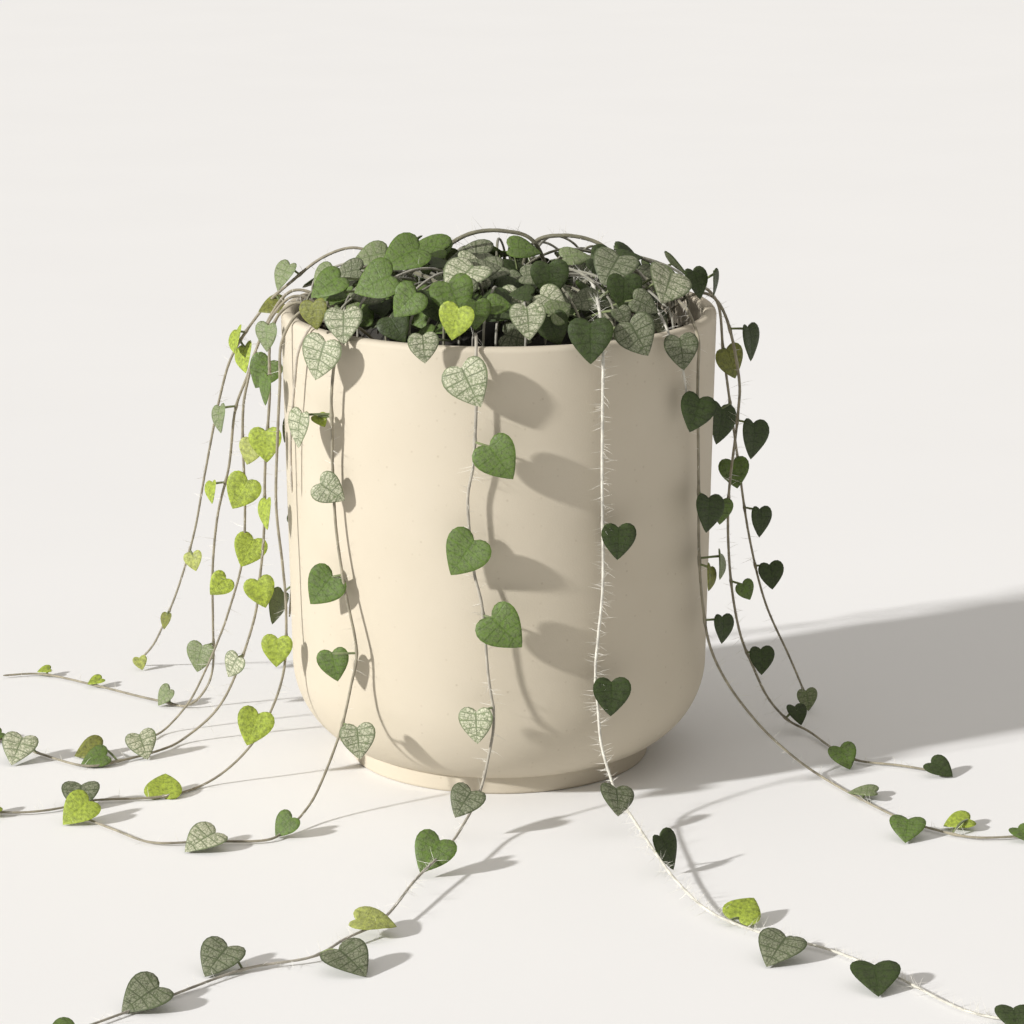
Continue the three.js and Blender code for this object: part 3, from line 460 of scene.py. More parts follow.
# %% Vines seen from the front
# The leaves of the vines on the right mostly take the dark greens d and k, and those on the left
# mostly lime and lighter greens: this is partly painted shade and light, as the sun comes from the
# left and the right side lies in shade.
VINES = {
    "left_far": ([
        (-40, 10, 146), (-40, 10, 168), (-43, 10, 185), (-53, 11, 190), (-65, 14, 186),
        (-77, 20, 176), (-88, 26, 165), (-100, 32, 147), (-106, 37, 129), (-113, 47, 98),
        (-119, 60, 70), (-127, 76, 44), (-134, 90, 26), (-141, 102, 11), (-149, 110, 1.2)
    ], [
        ("g", 80, -2, 12, -130, -50), ("o", 93, 3, 11, -160, 0, 60), ("l", 113, -1, 11, -105, -70),
        ("l", 117, 5, 12, -95, -60), ("p", 217, 3, 8, -80, -20), ("o", 256, 1, 7, -115, -50),
        ("p", 292, 5, 6, -75, 0)
    ]),
    "left_back": ([
        (-60, 8, 146), (-60, 8, 162), (-66, 8, 172), (-77, 9, 174), (-86, 10, 162), (-94, 14, 141),
        (-99, 17, 127), (-102, 21, 105), (-107, 26, 85), (-110, 33, 62), (-111, 41, 39),
        (-112, 48, 18), (-116, 51, 7), (-123, 51, 1.2), (-133, 57, 1.2), (-143, 64, 1.2),
        (-163, 80, 1.2), (-185, 95, 1.2), (-202, 93, 1.2)
    ], [
        ("g", 94, -5, 11, -95, -60), ("l", 125, -4, 9, -100, -60), ("l", 167, 3, 10, -135, 0),
        ("g", 200, -5, 12, -105, -20), ("g", 238, 2, 9, -140, -40, 35), ("l", 278, -1, 7, -150, 0),
        ("l", 305, -1, 6, -165, 0)
    ]),
    "left_mid": ([
        (-61, -3, 146), (-61, -3, 161), (-67, -2, 171.5), (-77, -2, 173.5), (-87, -2, 160),
        (-93, -2, 141), (-95, 0, 125), (-95, 4, 92), (-97, 9, 70), (-103, 14, 49), (-107, 17, 38),
        (-112, 20, 26), (-119, 22, 12), (-128, 19, 2), (-134, 8, 1.2)
    ], [
        ("m", 68, 5, 13, -120, -10), ("p", 100, 3, 10, -110, -20), ("l", 116, -1, 14, -120, -10),
        ("l", 140, 2, 13, -115, 0)
    ]),
    "left_long": ([
        (-59, -15, 146), (-59, -15, 160), (-65, -14, 170.5), (-75, -13, 173.5), (-83, -12, 163),
        (-84, -13, 138), (-86, -13, 113), (-87, -11, 88), (-89, -6, 70), (-92, 0, 51),
        (-100, 6, 27), (-108, 9, 12), (-120, 6, 2), (-128, -6, 1.2), (-142, -19, 1.2),
        (-154, -25, 1.2), (-172, -11, 1.2), (-190, 8, 1.2), (-200, 14, 1.2)
    ], [
        ("g", 52, -1, 11, -100, -40), ("m", 71, -1, 12, -115, -65), ("l", 92, 0, 13, -90, -15),
        ("l", 117, 1, 12, -100, -65), ("l", 151, 1, 12, -75, -5), ("s", 185, -2, 10, -125, -30),
        ("s", 248, 0, 12, -70, 0, 45), ("o", 262, -14, 12, -160, 0, 60),
        ("m", 267, -4, 11, -160, 0, 60), ("s", 297, 10, 14, -105, 0, 55), ("m", 324, 2, 9, -150, 0)
    ]),
    "left_front": ([
        (-55, -27, 146), (-55, -27, 160), (-62, -28, 170.5), (-71, -29, 173.5), (-78, -31, 163),
        (-79, -31, 147), (-80, -32, 129), (-81, -32, 103), (-79, -32, 80), (-78, -32, 63),
        (-79, -35, 41), (-85, -39, 24), (-94, -42, 11), (-107, -46, 1.5), (-122, -61, 1.2),
        (-146, -65, 1.2), (-158, -74, 1.2), (-168, -78, 1.2), (-178, -78, 1.2), (-190, -74, 1.2)
    ], [
        ("l", 165, 0, 12, -95, -10), ("l", 196, -3, 14, -110, 0), ("l", 242, -5, 14, 90, 0, 60),
        ("k", 277, 2, 14, -90, 0, 65), ("l", 310, 2, 10, -160, 0)
    ]),
    "left_wall": ([
        (-52, -39, 146), (-52, -39, 160), (-58, -41, 170), (-65, -44, 172.5), (-71, -44, 163),
        (-73, -41, 150), (-75, -37, 128), (-75, -35, 108)
    ], []),
    "front_left": ([
        (-41, -45, 146), (-41, -45, 160), (-47, -52, 170), (-53, -58, 173.5), (-57, -62, 165),
        (-59, -60, 150), (-59, -59, 135), (-59, -58, 121), (-58, -59, 100), (-55, -62, 79),
        (-51, -66, 58), (-53, -68, 45), (-57, -74, 29), (-64, -82, 12), (-69, -89, 5),
        (-75, -100, 2), (-82, -109, 1.2), (-102, -110, 1.2), (-121, -111, 1.2), (-136, -97, 1.2),
        (-148, -84, 1.2)
    ], [
        ("s", 39, 1, 14, -90, -10), ("s", 50, -2, 16, -110, -25), ("l", 73, -3, 6, -60, 0, 50),
        ("s", 76, -9, 14, -110, -55), ("s", 98, 2, 12, -35, -10), ("m", 133, -7, 15, -130, -10),
        ("m", 164, -7, 12, -80, -10), ("s", 188, 7, 13, -85, 0), ("m", 234, 1, 10, -135, -20, 40),
        ("s", 265, 5, 15, -140, 0, 70), ("l", 320, 3, 14, -135, 0, 50)
    ]),
    "front_mid": ([
        (-9, -60, 146), (-9, -60, 160), (-9, -67, 170.5), (-8, -76, 173.5), (-8, -83, 165),
        (-8, -83.5, 149), (-9, -83.5, 130), (-11, -83, 116), (-9, -83, 92), (-6, -83.5, 78),
        (-4, -84, 54), (-2, -86, 38), (-4, -90, 25), (-7, -98, 15), (-12, -112, 9), (-18, -134, 7),
        (-28, -162, 6), (-38, -194, 4), (-50, -210, 3), (-60, -223, 2), (-81, -232, 1.4),
        (-105, -257, 1.2), (-124, -277, 1.2), (-134, -288, 1.2)
    ], [
        ("s", 54, -2, 17, -65, -15), ("m", 80, 9, 16, -55, -10), ("m", 115, -2, 17, -125, -10),
        ("m", 143, 7, 17, -45, -10), ("s", 178, -6, 13, -90, -20), ("k", 211, -3, 13, -120, 0),
        ("m", 252, -2, 15, -120, 0, 45), ("p", 312, 0, 15, -10, 0, 80),
        ("k", 339, 14, 16, -50, 0, 70), ("k", 370, -6, 15, -120, 0, 65),
        ("k", 406, 0, 16, -140, 0, 65), ("m", 440, 3, 12, -130, 0)
    ]),
    "front_right": ([
        (28, -4, 146), (28, -4, 170), (28, -9, 184), (33, -25, 184), (35, -50, 180),
        (35.5, -67, 176), (36, -76, 167), (36, -75.5, 147), (36, -75.5, 123), (36.5, -75.5, 86),
        (35, -76, 66), (34, -77, 53), (35, -78, 39), (36, -83, 28), (39, -89, 18), (42, -96, 12),
        (46, -107, 9), (52, -134, 7), (59, -162, 5), (69, -186, 3), (85, -203, 2),
        (104, -215, 1.4), (123, -238, 1.2), (141, -266, 1.2), (158, -276, 1.2), (170, -283, 1.2)
    ], [
        ("d", 109, -6, 16, -90, 0), ("d", 179, 4, 13, -90, 15), ("d", 236, 4, 14, -90, 10),
        ("k", 278, -2, 13, -85, 35), ("d", 322, 3, 14, -50, 55, 30), ("l", 378, 8, 13, 60, 0, 60),
        ("k", 405, -15, 16, -120, 0, 70), ("d", 449, -10, 16, -90, 0, 75),
        ("d", 497, -3, 12, -90, 0)
    ]),
    "right_short": ([
        (47, -29, 146), (47, -29, 168), (50, -33, 179), (55, -44, 178), (58, -54, 174.5),
        (61.5, -57, 166), (65, -52.5, 157), (67.5, -49.5, 141)
    ], [
        ("k", 69, -1, 13, -80, 15), ("d", 94, -2, 14, -105, 20)
    ]),
    "right_front": ([
        (57, -13, 146), (57, -13, 166), (61, -15, 177), (66, -26, 175.5), (68, -36, 174),
        (71, -43, 166), (71, -43.5, 155), (71, -43.5, 144), (71.5, -43, 127), (72, -41.5, 106),
        (72.5, -39.5, 86), (74, -38, 68), (77, -38, 51), (84, -37, 36), (95, -36, 21),
        (106, -36, 10), (117, -38, 2), (130, -64, 1.2), (143, -88, 1.2), (151, -97, 1.2),
        (165, -107, 1.2), (182, -106, 1.2), (193, -102, 1.2)
    ], [
        ("d", 128, -5, 14, -90, 40), ("g", 151, 3, 11, -75, 80), ("o", 153, -5, 10, -90, 70),
        ("d", 176, 2, 11, -85, 45), ("g", 275, 3, 11, 170, 0, 85),
        ("m", 315, -12, 13, -100, 0, 70), ("l", 323, 9, 11, -165, 0, 75),
        ("m", 351, -2, 9, -60, 0, 70)
    ]),
    "right_back": ([
        (56, 13, 146), (56, 13, 162), (63, 13, 172), (74, 16, 175), (82, 21, 167), (84.5, 24, 148),
        (88, 28, 125), (91, 31, 106), (96, 35, 75), (103, 39, 47), (113, 43, 24), (118, 47, 12),
        (121, 50, 4)
    ], [
        ("o", 75, 2, 13, -65, 30), ("d", 98, -5, 16, -95, 45), ("m", 121, -2, 12, -80, 0),
        ("d", 141, 5, 12, -85, 45), ("d", 165, 5, 11, -80, 20), ("g", 223, 0, 9, -80, 20)
    ]),
    "right_mid": ([
        (60, -1, 146), (60, -1, 162), (67, 0, 172), (77, 0, 174.5), (84, 2, 165), (89, 4, 143),
        (89, 5, 128), (86, 5, 96), (87, 6, 68), (91, 8, 44), (97, 11, 28), (103, 15, 15),
        (111, 19, 5), (119, 13, 2), (126, -5, 1.2), (134, -20, 1.2), (149, -26, 1.2),
        (165, -35, 1.2)
    ], [
        ("d", 60, 6, 14, -70, 60), ("d", 96, 6, 15, -90, 45), ("m", 125, -3, 10, -90, 30),
        ("m", 157, 5, 8, -60, 20), ("d", 187, 4, 11, -85, 25), ("d", 222, 3, 9, -70, 30),
        ("m", 267, -8, 11, -70, 0, 50), ("d", 300, -1, 11, -40, 0, 65)
    ]),
}

# %% Curves
def walk(route):
    """A smooth curve through a route: between two points it is the cubic whose slope at each
    is half the step from the point before to the point after. 24 steps are walked between
    neighbouring points. Gives the points and how far along each one lies."""
    points = np.array(route, float)
    padded = np.vstack([2 * points[0] - points[1], points, 2 * points[-1] - points[-2]])
    share = np.linspace(0, len(points) - 1, 24 * (len(points) - 1) + 1)
    first = np.minimum(share.astype(int), len(points) - 2)
    w = (share - first)[:, None]
    before, start, end, after = (padded[first + k] for k in range(4))
    leave, arrive = (end - before) / 2, (after - start) / 2
    curve = (start + leave * w + (3 * (end - start) - 2 * leave - arrive) * w ** 2
             + (2 * (start - end) + leave + arrive) * w ** 3)
    steps = np.linalg.norm(np.diff(curve, axis=0), axis=1)
    return curve, np.concatenate([[0], np.cumsum(steps)])


def points_at(path, wanted):
    """The points that lie at the wanted distances along a path."""
    points, distances = path
    return np.column_stack([np.interp(wanted, distances, points[:, k]) for k in range(3)])


def on_lanes(lanes, start=0.0):
    """The route of points round the axis, out of their radius, height and turn from a start."""
    return [(radius * math.cos(start + turn), radius * math.sin(start + turn), height)
            for radius, height, turn in lanes]


def place_along(path, distance):
    """Position and direction of a stem at a distance from its start."""
    points, distances = path
    wanted = min(max(distance, 0), distances[-1] - 0.01)
    i = max(int(np.searchsorted(distances, wanted, "left")) - 1, 0)
    share = (wanted - distances[i]) / (distances[i + 1] - distances[i])
    step = points[i + 1] - points[i]
    return points[i] + share * step, unit(step)


# %% Vines at the back
# Degrees round from the right-hand side, reach of the stem from its hole, and how far its free
# end swings to the left.
BACK_VINES = [(38, 190, 6), (62, 330, 6), (84, 150, 5), (103, 290, 8), (124, 215, 4),
              (147, 185, 8)]
BACK_LEAF_SPACING = 35
FIRST_BACK_SEED = 100
# Radius, height and degrees on from the start: out of the soil and over the rim.
OVER_RIM = [(60, 146, 0), (60, 161, 0), (67, 171.5, 0), (77, 173.5, 0), (84, 164, 0)]
USED_BY_RIM = 60  # mm of stem
LONGEST_STEP = 26
WALL_END = 36  # a stem leaves the wall at this height,
TOUCHDOWN = 107  # reaches the surface at this distance from the axis
USED_BY_BEND = 45  # and needs this much of its length in between
STEM_LIES = 1.2  # height of a lying stem's middle


def back_route(degrees, reach, swing):
    """Out of the soil, over the rim, down beside the wall in even steps and, if the stem is
    long enough, outwards along the surface."""
    lanes = list(OVER_RIM)
    top = height = OVER_RIM[-1][1]
    left = reach - USED_BY_RIM
    while left > 0 and height > WALL_END:
        step = min(LONGEST_STEP, left)
        height -= step
        left -= step
        lanes.append((85 + 0.05 * (top - height), height, swing * (1 - height / top)))
    if left > 0:
        lanes += [(97, 14, swing), (TOUCHDOWN, 3, 1.1 * swing)]
        left -= USED_BY_BEND
        radius = TOUCHDOWN
        while left > 0:
            step = min(LONGEST_STEP, left)
            radius += step
            left -= step
            lanes.append((radius, STEM_LIES, swing * (1.1 + 0.02 * (radius - TOUCHDOWN))))
    return on_lanes([(radius, height, math.radians(degrees + turned_by))
                     for radius, height, turned_by in lanes])


print(len(VINES), "vines seen from the front and", len(BACK_VINES), "at the back")

# %% [markdown]
# ## Stems
#
# A stem is a wiry grey-green thread about 1.2 mm thick where it leaves the soil and 0.8 mm at
# its tip, with a slight knuckle where each leaf joins. It is a tube: a circle carried along the
# curve. The tube's axes come from one fixed direction that the stem hardly ever points along,
# so that the circle doesn't spin.

# %% Tubes
STEM_SIDES = 8
STEM_STEP = 1.2  # between two rings
KNUCKLE = 0.22  # how far the stem swells where a leaf joins
KNUCKLE_REACH = 1.3
UNEVENNESS = 0.06  # of the radius along a stem


def tube(points, radii, sides=STEM_SIDES):
    """Rings round a curve: at each point, centre plus radius times (cosine of the turn along
    the side axis, plus sine along the upper axis), with the two end points of the curve."""
    forward = unit(np.gradient(points, axis=0))
    fixed = np.linalg.svd(forward, full_matrices=True)[2][-1]
    side = unit(np.cross(forward, fixed))
    up = np.cross(forward, side)
    turn = 2 * math.pi * np.arange(sides) / sides
    rings = (points[:, None] + radii[:, None, None]
             * (np.cos(turn)[:, None] * side[:, None] + np.sin(turn)[:, None] * up[:, None]))
    return np.vstack([points[:1], rings.reshape(-1, 3), points[-1:]])


def stem_form(route, colour, thick, thin, knuckles=()):
    """A tapering tube along a route, with a small swelling at each knuckle's distance."""
    path = walk(route)
    length = path[1][-1]
    wanted = np.arange(0, length, STEM_STEP)
    even = points_at(path, wanted)
    radii = thick + (thin - thick) * wanted / length
    for knuckle in knuckles:
        radii += KNUCKLE * np.exp(-(((wanted - knuckle) / KNUCKLE_REACH) ** 2))
    radii *= 1 + UNEVENNESS * np.sin(wanted * 1.7) * np.sin(wanted * 0.61)
    radii[-1] *= 0.5
    return bunch(tube(even, radii)[None], len(even), STEM_SIDES,
                 tone=np.array(linear(colour)))


# %% Stem bark
stem_bark, tree = new_material("hairy_vine_stem")
place = place_on(tree)
streaks = noise(tree, place, 260.0, 4.0)
tint = scaled(tree, mark_of(tree, "tone"), ranged(tree, streaks, 0.3, 0.7, 0.7, 1.25))
# Down on the stem is a fuzz some 0.3 mm deep.
fuzz = noise(tree, place, 2600.0)
finish_surface(tree, Base_Color=tint, Roughness=0.7, Sheen_Weight=0.3, Sheen_Roughness=0.5,
               Normal=relief(tree, fuzz, 0.5, 0.3))

# %% [markdown]
# ## Leaves
#
# A leaf is a heart of 6 to 18 mm with its stalk in the notch. It is a little fleshy, its two
# halves rise from the midrib and its tip droops. The blade is one closed ring surface: every
# ring runs across the upper side from edge to edge and back underneath, and the rings fan out
# from the notch to the tip as the veins do. That fan also tells the material where the veins
# are.

# %% The heart
HALF_HEART = [(0, 0), (0.1, -0.085), (0.24, -0.125), (0.38, -0.085), (0.475, 0.04),
              (0.495, 0.2), (0.44, 0.38), (0.33, 0.55), (0.19, 0.71), (0.07, 0.83), (0, 0.885)]
FOLD = 0.22  # how steeply the halves rise from the midrib
DROOP = 0.12  # how much the tip droops
NOTCH = 0.36  # from the notch to the middle, in leaf lengths
TIP = HALF_HEART[-1][1]
FLESH = 1.05  # mm thick along the middle of each half


def heart_grid(rows, columns):
    """Places on a heart in leaf lengths. v runs from 0 at the notch to 1 at the tip and u from
    -1 to 1 across. A place is (1 - |u|) times the midrib's point at v plus |u| times the edge's
    point at v. Each ring goes over the top and back underneath. Gives x, y, u, v and +1 for the
    upper side, -1 for the underside and 0 on the edge, end points included."""
    edge, distances = walk([(x, y, 0) for x, y in HALF_HEART])
    v = np.linspace(0, 1, rows + 2)[1:-1]
    edge_x = np.interp(v * distances[-1], distances, edge[:, 0])
    edge_y = np.interp(v * distances[-1], distances, edge[:, 1])
    rib_y = TIP * (0.08 * v + 0.92 * np.clip((v - 0.22) / 0.78, 0, 1) ** 1.4)
    over = np.sin(np.linspace(-math.pi / 2, math.pi / 2, columns + 1))
    u = np.concatenate([over, over[-2:0:-1]])
    upper = np.concatenate([[0], np.ones(columns - 1), [0], -np.ones(columns - 1)])
    x = edge_x[:, None] * u
    y = rib_y[:, None] * (1 - np.abs(u)) + edge_y[:, None] * np.abs(u)
    grid = [x, y, np.broadcast_to(u, x.shape), np.broadcast_to(v[:, None], x.shape),
            np.broadcast_to(upper, x.shape)]
    notch, tip = [0, 0, 0, 0, 0], [0, TIP, 0, 1, 0]
    return np.column_stack([np.concatenate([[notch[k]], grid[k].ravel(), [tip[k]]])
                            for k in range(5)]).T


def leaf_forms(leaves, rows=12, columns=6):
    """Blades of many leaves at once: middle, plus across times x, along times y and facing
    times a height. The height is the fold, which grows with x, less the droop, which grows with
    y squared, plus a slight pucker, plus or minus half the thickness."""
    x, y, u, v, upper = heart_grid(rows, columns)
    length = np.array([leaf["length"] for leaf in leaves])[:, None]
    seed = np.array([leaf["seed"] for leaf in leaves])[:, None]
    middle, along, facing = (np.array([leaf[key] for leaf in leaves])[:, None]
                             for key in ("middle", "along", "facing"))
    across = np.cross(along, facing)
    fold = FOLD * (np.sqrt(x ** 2 + 0.002) - 0.045)
    rim = np.abs(u) ** 4 * np.sin(math.pi * np.clip(v, 0, 1))
    pucker = (0.012 * np.sin(19 * v + seed) * np.abs(u) * (1 - np.abs(u))
              + 0.018 * rim * np.sin(5 * v + 1.7 * seed) - 0.02 * rim)
    swell = np.sqrt(np.clip(1 - u ** 2, 0, 1)) * np.sqrt(np.clip(np.sin(math.pi * v), 0, 1))
    body = FLESH * (0.25 + 0.75 * swell) * upper / 2
    height = length * (fold - DROOP * y ** 2 + pucker) + body * np.minimum(1, length / 12)
    points = (middle + across * (length * x)[..., None]
              + along * (length * (y - NOTCH))[..., None] + facing * height[..., None])
    tones = np.array([linear(TONES[leaf["tone"]][0]) for leaf in leaves])[:, None]
    silver = np.array([TONES[leaf["tone"]][1] for leaf in leaves])[:, None]
    silver = np.where(upper < 0, -1.0, silver)
    blade = np.stack(np.broadcast_arrays(length * x, length * y, 17 * seed), -1)
    vein = np.stack(np.broadcast_arrays(u, v, silver), -1)
    return bunch(points, rows, len(upper[1:-1]) // rows, tone=tones, blade=blade, vein=vein)


STALK_COLOUR = "#6f7a4c"
STALK_POINTS, STALK_SIDES = 7, 5
STALK_RADII = np.linspace(0.42, 0.5, STALK_POINTS)  # from the stem to the notch
STALK_BEND = 0.12


def notch_of(leaf):
    """Where a leaf's stalk meets its blade."""
    return leaf["middle"] - NOTCH * leaf["length"] * leaf["along"]


def stalk_forms(leaves):
    """A leaf's stalk: a thin tube from the stem to the notch, bent outwards in the middle."""
    forms = []
    share = np.linspace(0, 1, STALK_POINTS)[:, None]
    for leaf in leaves:
        notch = notch_of(leaf)
        gap = np.linalg.norm(notch - leaf["foot"])
        bend = STALK_BEND * gap * np.sin(math.pi * share) * leaf["facing"]
        line = (1 - share) * leaf["foot"] + share * (notch + 0.5 * leaf["along"]) + bend
        forms.append(tube(line, STALK_RADII, STALK_SIDES))
    return bunch(np.array(forms), STALK_POINTS, STALK_SIDES,
                 tone=np.array(linear(STALK_COLOUR)))


# %% [markdown]
# The upper side carries the plant's marks. Young leaves in strong light are lime, older ones
# dark green, and many are silvered between a net of green veins, with a thin green edge. Which
# leaves are lime and which dark green is also partly painted light: lime goes mostly to leaves
# in the sun and the dark greens to leaves in shade, on the right and deep in the crown. The
# material draws the veins along the fan of each blade and the net as cells a little over 1 mm wide.

# %% Colouring
# Each letter: the green of the blade and how much of it is silvered; d and k are partly painted
# shade.
TONES = {
    "d": ("#2e3d17", 0.05),
    "k": ("#33411f", 0.4),
    "m": ("#4c6421", 0.12),
    "g": ("#5a6b3c", 0.35),
    "o": ("#6c7030", 0.06),
    "l": ("#8f9f38", 0.06),
    "p": ("#9aa252", 0.15),
    "s": ("#3f5423", 1.0),
}

leaf_skin, tree = new_material("waxy_leaf")
blade = mark_of(tree, "blade")
parts = add_node(tree, "ShaderNodeSeparateXYZ", {0: mark_of(tree, "vein")})
beside = maths(tree, "ABSOLUTE", parts.outputs["X"])
# Side veins: five to each half, where v is a whole number of sixths.
sixths = maths(tree, "MULTIPLY", parts.outputs["Y"], 6.0)
ripple = maths(tree, "PINGPONG", sixths, 0.5)
side_veins = ranged(tree, ripple, 0.02, 0.12, 1.0, 0.0)
midrib = ranged(tree, beside, 0.02, 0.09, 1.0, 0.0)
rim = ranged(tree, beside, 0.86, 0.96, 0.0, 1.0)
# The net between them: the edges of warped cells.
warp = add_node(tree, "ShaderNodeTexNoise", {"Vector": blade, "Scale": 0.7, "Detail": 3.0})
warped = add_node(tree, "ShaderNodeVectorMath", {0: blade, 1: warp.outputs["Color"]},
                  operation="ADD")
cells = add_node(tree, "ShaderNodeTexVoronoi", {"Vector": warped.outputs[0], "Scale": 0.8},
                 feature="DISTANCE_TO_EDGE")
net = ranged(tree, cells.outputs["Distance"], 0.01, 0.1, 1.0, 0.0)
# Silver lies wherever there is no vein, no edge and no blot of plain green.
blots = noise(tree, blade, 0.8, 5.0, 0.65)
green_marks = ranged(tree, blots, 0.5, 0.66, 0.0, 1.0)
for marks in (side_veins, midrib, net, rim):
    green_marks = maths(tree, "MAXIMUM", green_marks, marks)
bare = ranged(tree, green_marks, 0.0, 1.0, 1.0, 0.2)
silver = maths(tree, "MULTIPLY", parts.outputs["Z"], bare, use_clamp=True)
green = scaled(tree, mark_of(tree, "tone"), ranged(tree, blots, 0.35, 0.65, 0.6, 1.45))
upper_side = mixed(tree, silver, green, "#bfc0a6")
underside = mixed(tree, 0.45, green, "#7c8263")
from_below = maths(tree, "LESS_THAN", parts.outputs["Z"], -0.5)
finish_surface(tree, Base_Color=mixed(tree, from_below, upper_side, underside), Roughness=0.5,
               Specular_IOR_Level=0.3, Normal=relief(tree, bare, 0.35, 0.3))

# %% [markdown]
# ## Leaves in their places
#
# A leaf of a vine at the front stands in front of its stem, or outwards from the wall. It faces
# the front where the stem hangs and looks up where the stem lies on the floor. The leaves at the
# back face outwards, and their small changes in turn are drawn from a seed of the vine's own.

# %% Axes of a leaf
LEAF_LIFT = 2.6  # a blade's middle stands this far in front of a hanging stem
LYING_LIFT = 1.6  # and this far above a lying one
EDGE_REACH = 0.42  # from the middle to the edge, which a turned blade swings back
LOOK_HANGING = 12  # how far a blade looks up, in degrees, beside a hanging stem
LOOK_LYING = 74  # and over a lying one
NEAR_WALL = 90  # a stem this close to the axis hangs beside the wall
LOWEST = 0.25  # no leaf reaches lower than this above the surface
STALK_HALF = 0.6  # half the width of the CAD leaf's stalk at the blade
CAD_THICKNESS = 0.8
CAD_HEART = [(0.29, -0.12), (0.5, 0.18), (0.33, 0.58), (0, 0.88)]
UP = np.array([0.0, 0.0, 1.0])


def heading_out(angle, rise=0.0):
    """The level way out from the axis at an angle in radians, with a rise added to it."""
    return np.array([math.cos(angle), math.sin(angle), rise])


def rotate(v, axis, angle):
    """v turned about an axis of length one: v cos + (axis x v) sin + axis (axis . v)(1 - cos)."""
    return (v * math.cos(angle) + np.cross(axis, v) * math.sin(angle)
            + axis * (axis @ v) * (1 - math.cos(angle)))


def flattened(v, facing):
    """v without its share along facing, brought to length one."""
    return unit(v - facing * (v @ facing))


def angled_leaf(middle, length, heading, lift, turn):
    """A leaf with its middle and angles given. A blade that faces the front is lifted by one
    angle and turned by the other, and its tip swings round in the blade's own plane."""
    heading, lift, turn = (math.radians(value) for value in (heading, lift, turn))
    facing = np.array([math.cos(lift) * math.sin(turn), -math.cos(lift) * math.cos(turn),
                       math.sin(lift)])
    right = flattened(np.array([1.0, 0, 0]), facing)
    along = right * math.cos(heading) + np.cross(facing, right) * math.sin(heading)
    return {"length": length, "middle": middle, "along": along, "facing": facing}


def lowest_corner(leaf):
    """Height of the lowest corner of the leaf's CAD solid."""
    across = np.cross(leaf["along"], leaf["facing"])
    size = leaf["length"]
    corners = [(sign * x * size, y * size) for x, y in CAD_HEART for sign in (1, -1)]
    corners += [(STALK_HALF, 0), (-STALK_HALF, 0)]
    lows = [(leaf["middle"] + x * across + (y - NOTCH * size) * leaf["along"]
             + (FOLD * abs(x) - DROOP * y * y / size) * leaf["facing"])[2]
            for x, y in corners]
    return min(lows) - CAD_THICKNESS / 2 * abs(leaf["facing"][2])


def lifted_off(leaf):
    """The leaf, raised until it is clear of the floor."""
    leaf["middle"] = leaf["middle"] + UP * max(0, LOWEST - lowest_corner(leaf))
    return leaf


def nearest_point(points, leaf):
    """The foot of a stalk: where the stem comes closest to the notch of the leaf."""
    low = points[:, 2] < max(SOIL_TOP, leaf["middle"][2] + 14)
    low[0] = True
    return points[low][np.linalg.norm(points[low] - notch_of(leaf), axis=1).argmin()]


# %% A leaf of a vine
def front_leaf(path, entry):
    """Middle, axes and foot of one leaf of a vine at the front."""
    tone, distance, aside, length, heading, turn, *look = entry
    position, direction = place_along(path, distance)
    hang = abs(direction[2])
    beside_wall = math.hypot(position[0], position[1]) < NEAR_WALL and position[1] < -25
    lean = unit(position * (1, 1, 0)) if beside_wall else np.array([0.0, -1, 0])
    lean = flattened(lean * hang + (1 - hang) * UP, direction)
    sideways = np.cross(lean, direction)
    clear = (LYING_LIFT + (LEAF_LIFT - LYING_LIFT) * hang
             + EDGE_REACH * length * hang * abs(math.sin(math.radians(turn))))
    lift = look[0] if look else LOOK_HANGING + (LOOK_LYING - LOOK_HANGING) * (1 - hang)
    leaf = angled_leaf(position + sideways * aside + lean * clear, length, heading, lift, turn)
    foot = nearest_point(path[0], leaf)
    return lifted_off({**leaf, "foot": foot, "tone": tone, "seed": distance})


def back_leaf(path, entry, draw):
    """Middle, axes and foot of one leaf of a vine at the back."""
    tone, distance, aside, length, turn = entry
    position, direction = place_along(path, distance)
    hang = abs(direction[2])
    outward = unit(position * (1, 1, 0))
    lean = flattened(outward * hang + 1.1 * (1 - hang) * UP, direction)
    sideways = np.cross(lean, direction)
    facing = unit(outward * (0.4 + 0.6 * hang) + UP * (0.9 - 0.65 * hang))
    spread = math.radians(14 + 3.2 * abs(aside)) * np.sign(aside)
    along = flattened(direction * math.cos(spread) + sideways * math.sin(spread), facing)
    tilt = turn + 16 * (next(draw) - 0.5)
    facing = rotate(facing, along, math.radians(tilt if hang > 0.5 else -tilt))
    clear = LEAF_LIFT + EDGE_REACH * length * abs(math.sin(math.radians(tilt)))
    foot = place_along(path, distance - 0.5 * length - 1)[0]
    return lifted_off({"length": length, "middle": position + sideways * aside + lean * clear,
                       "along": along, "facing": facing, "foot": foot, "tone": tone,
                       "seed": distance})


FIRST_BACK_LEAF = 66  # mm along the stem
BACK_TONES = "dmskmg"


def back_leaves(i, reach, path):
    """The leaves of one vine at the back, at even steps on alternate sides."""
    draw = random_from(FIRST_BACK_SEED + i)
    leaves = []
    for distance in range(FIRST_BACK_LEAF, reach - 6, BACK_LEAF_SPACING):
        aside = (1 if len(leaves) % 2 else -1) * (3 + 4 * next(draw))
        length = 10 + 5 * next(draw)
        turn = 20 * (next(draw) - 0.5)
        tone = BACK_TONES[(i + len(leaves)) % len(BACK_TONES)]
        leaves.append(back_leaf(path, (tone, distance, aside, length, turn), draw))
    return leaves


# %% Growing the vines
STEM_TONES = {"front_right": "#cfccc0", "front_mid": "#a8a294", "left_wall": "#b9b0a0",
              "right_short": "#c2bfb4"}
PLAIN_STEM = "#938c78"
STEM_THICK, STEM_THIN = 0.6, 0.42  # radius at the soil and at the tip

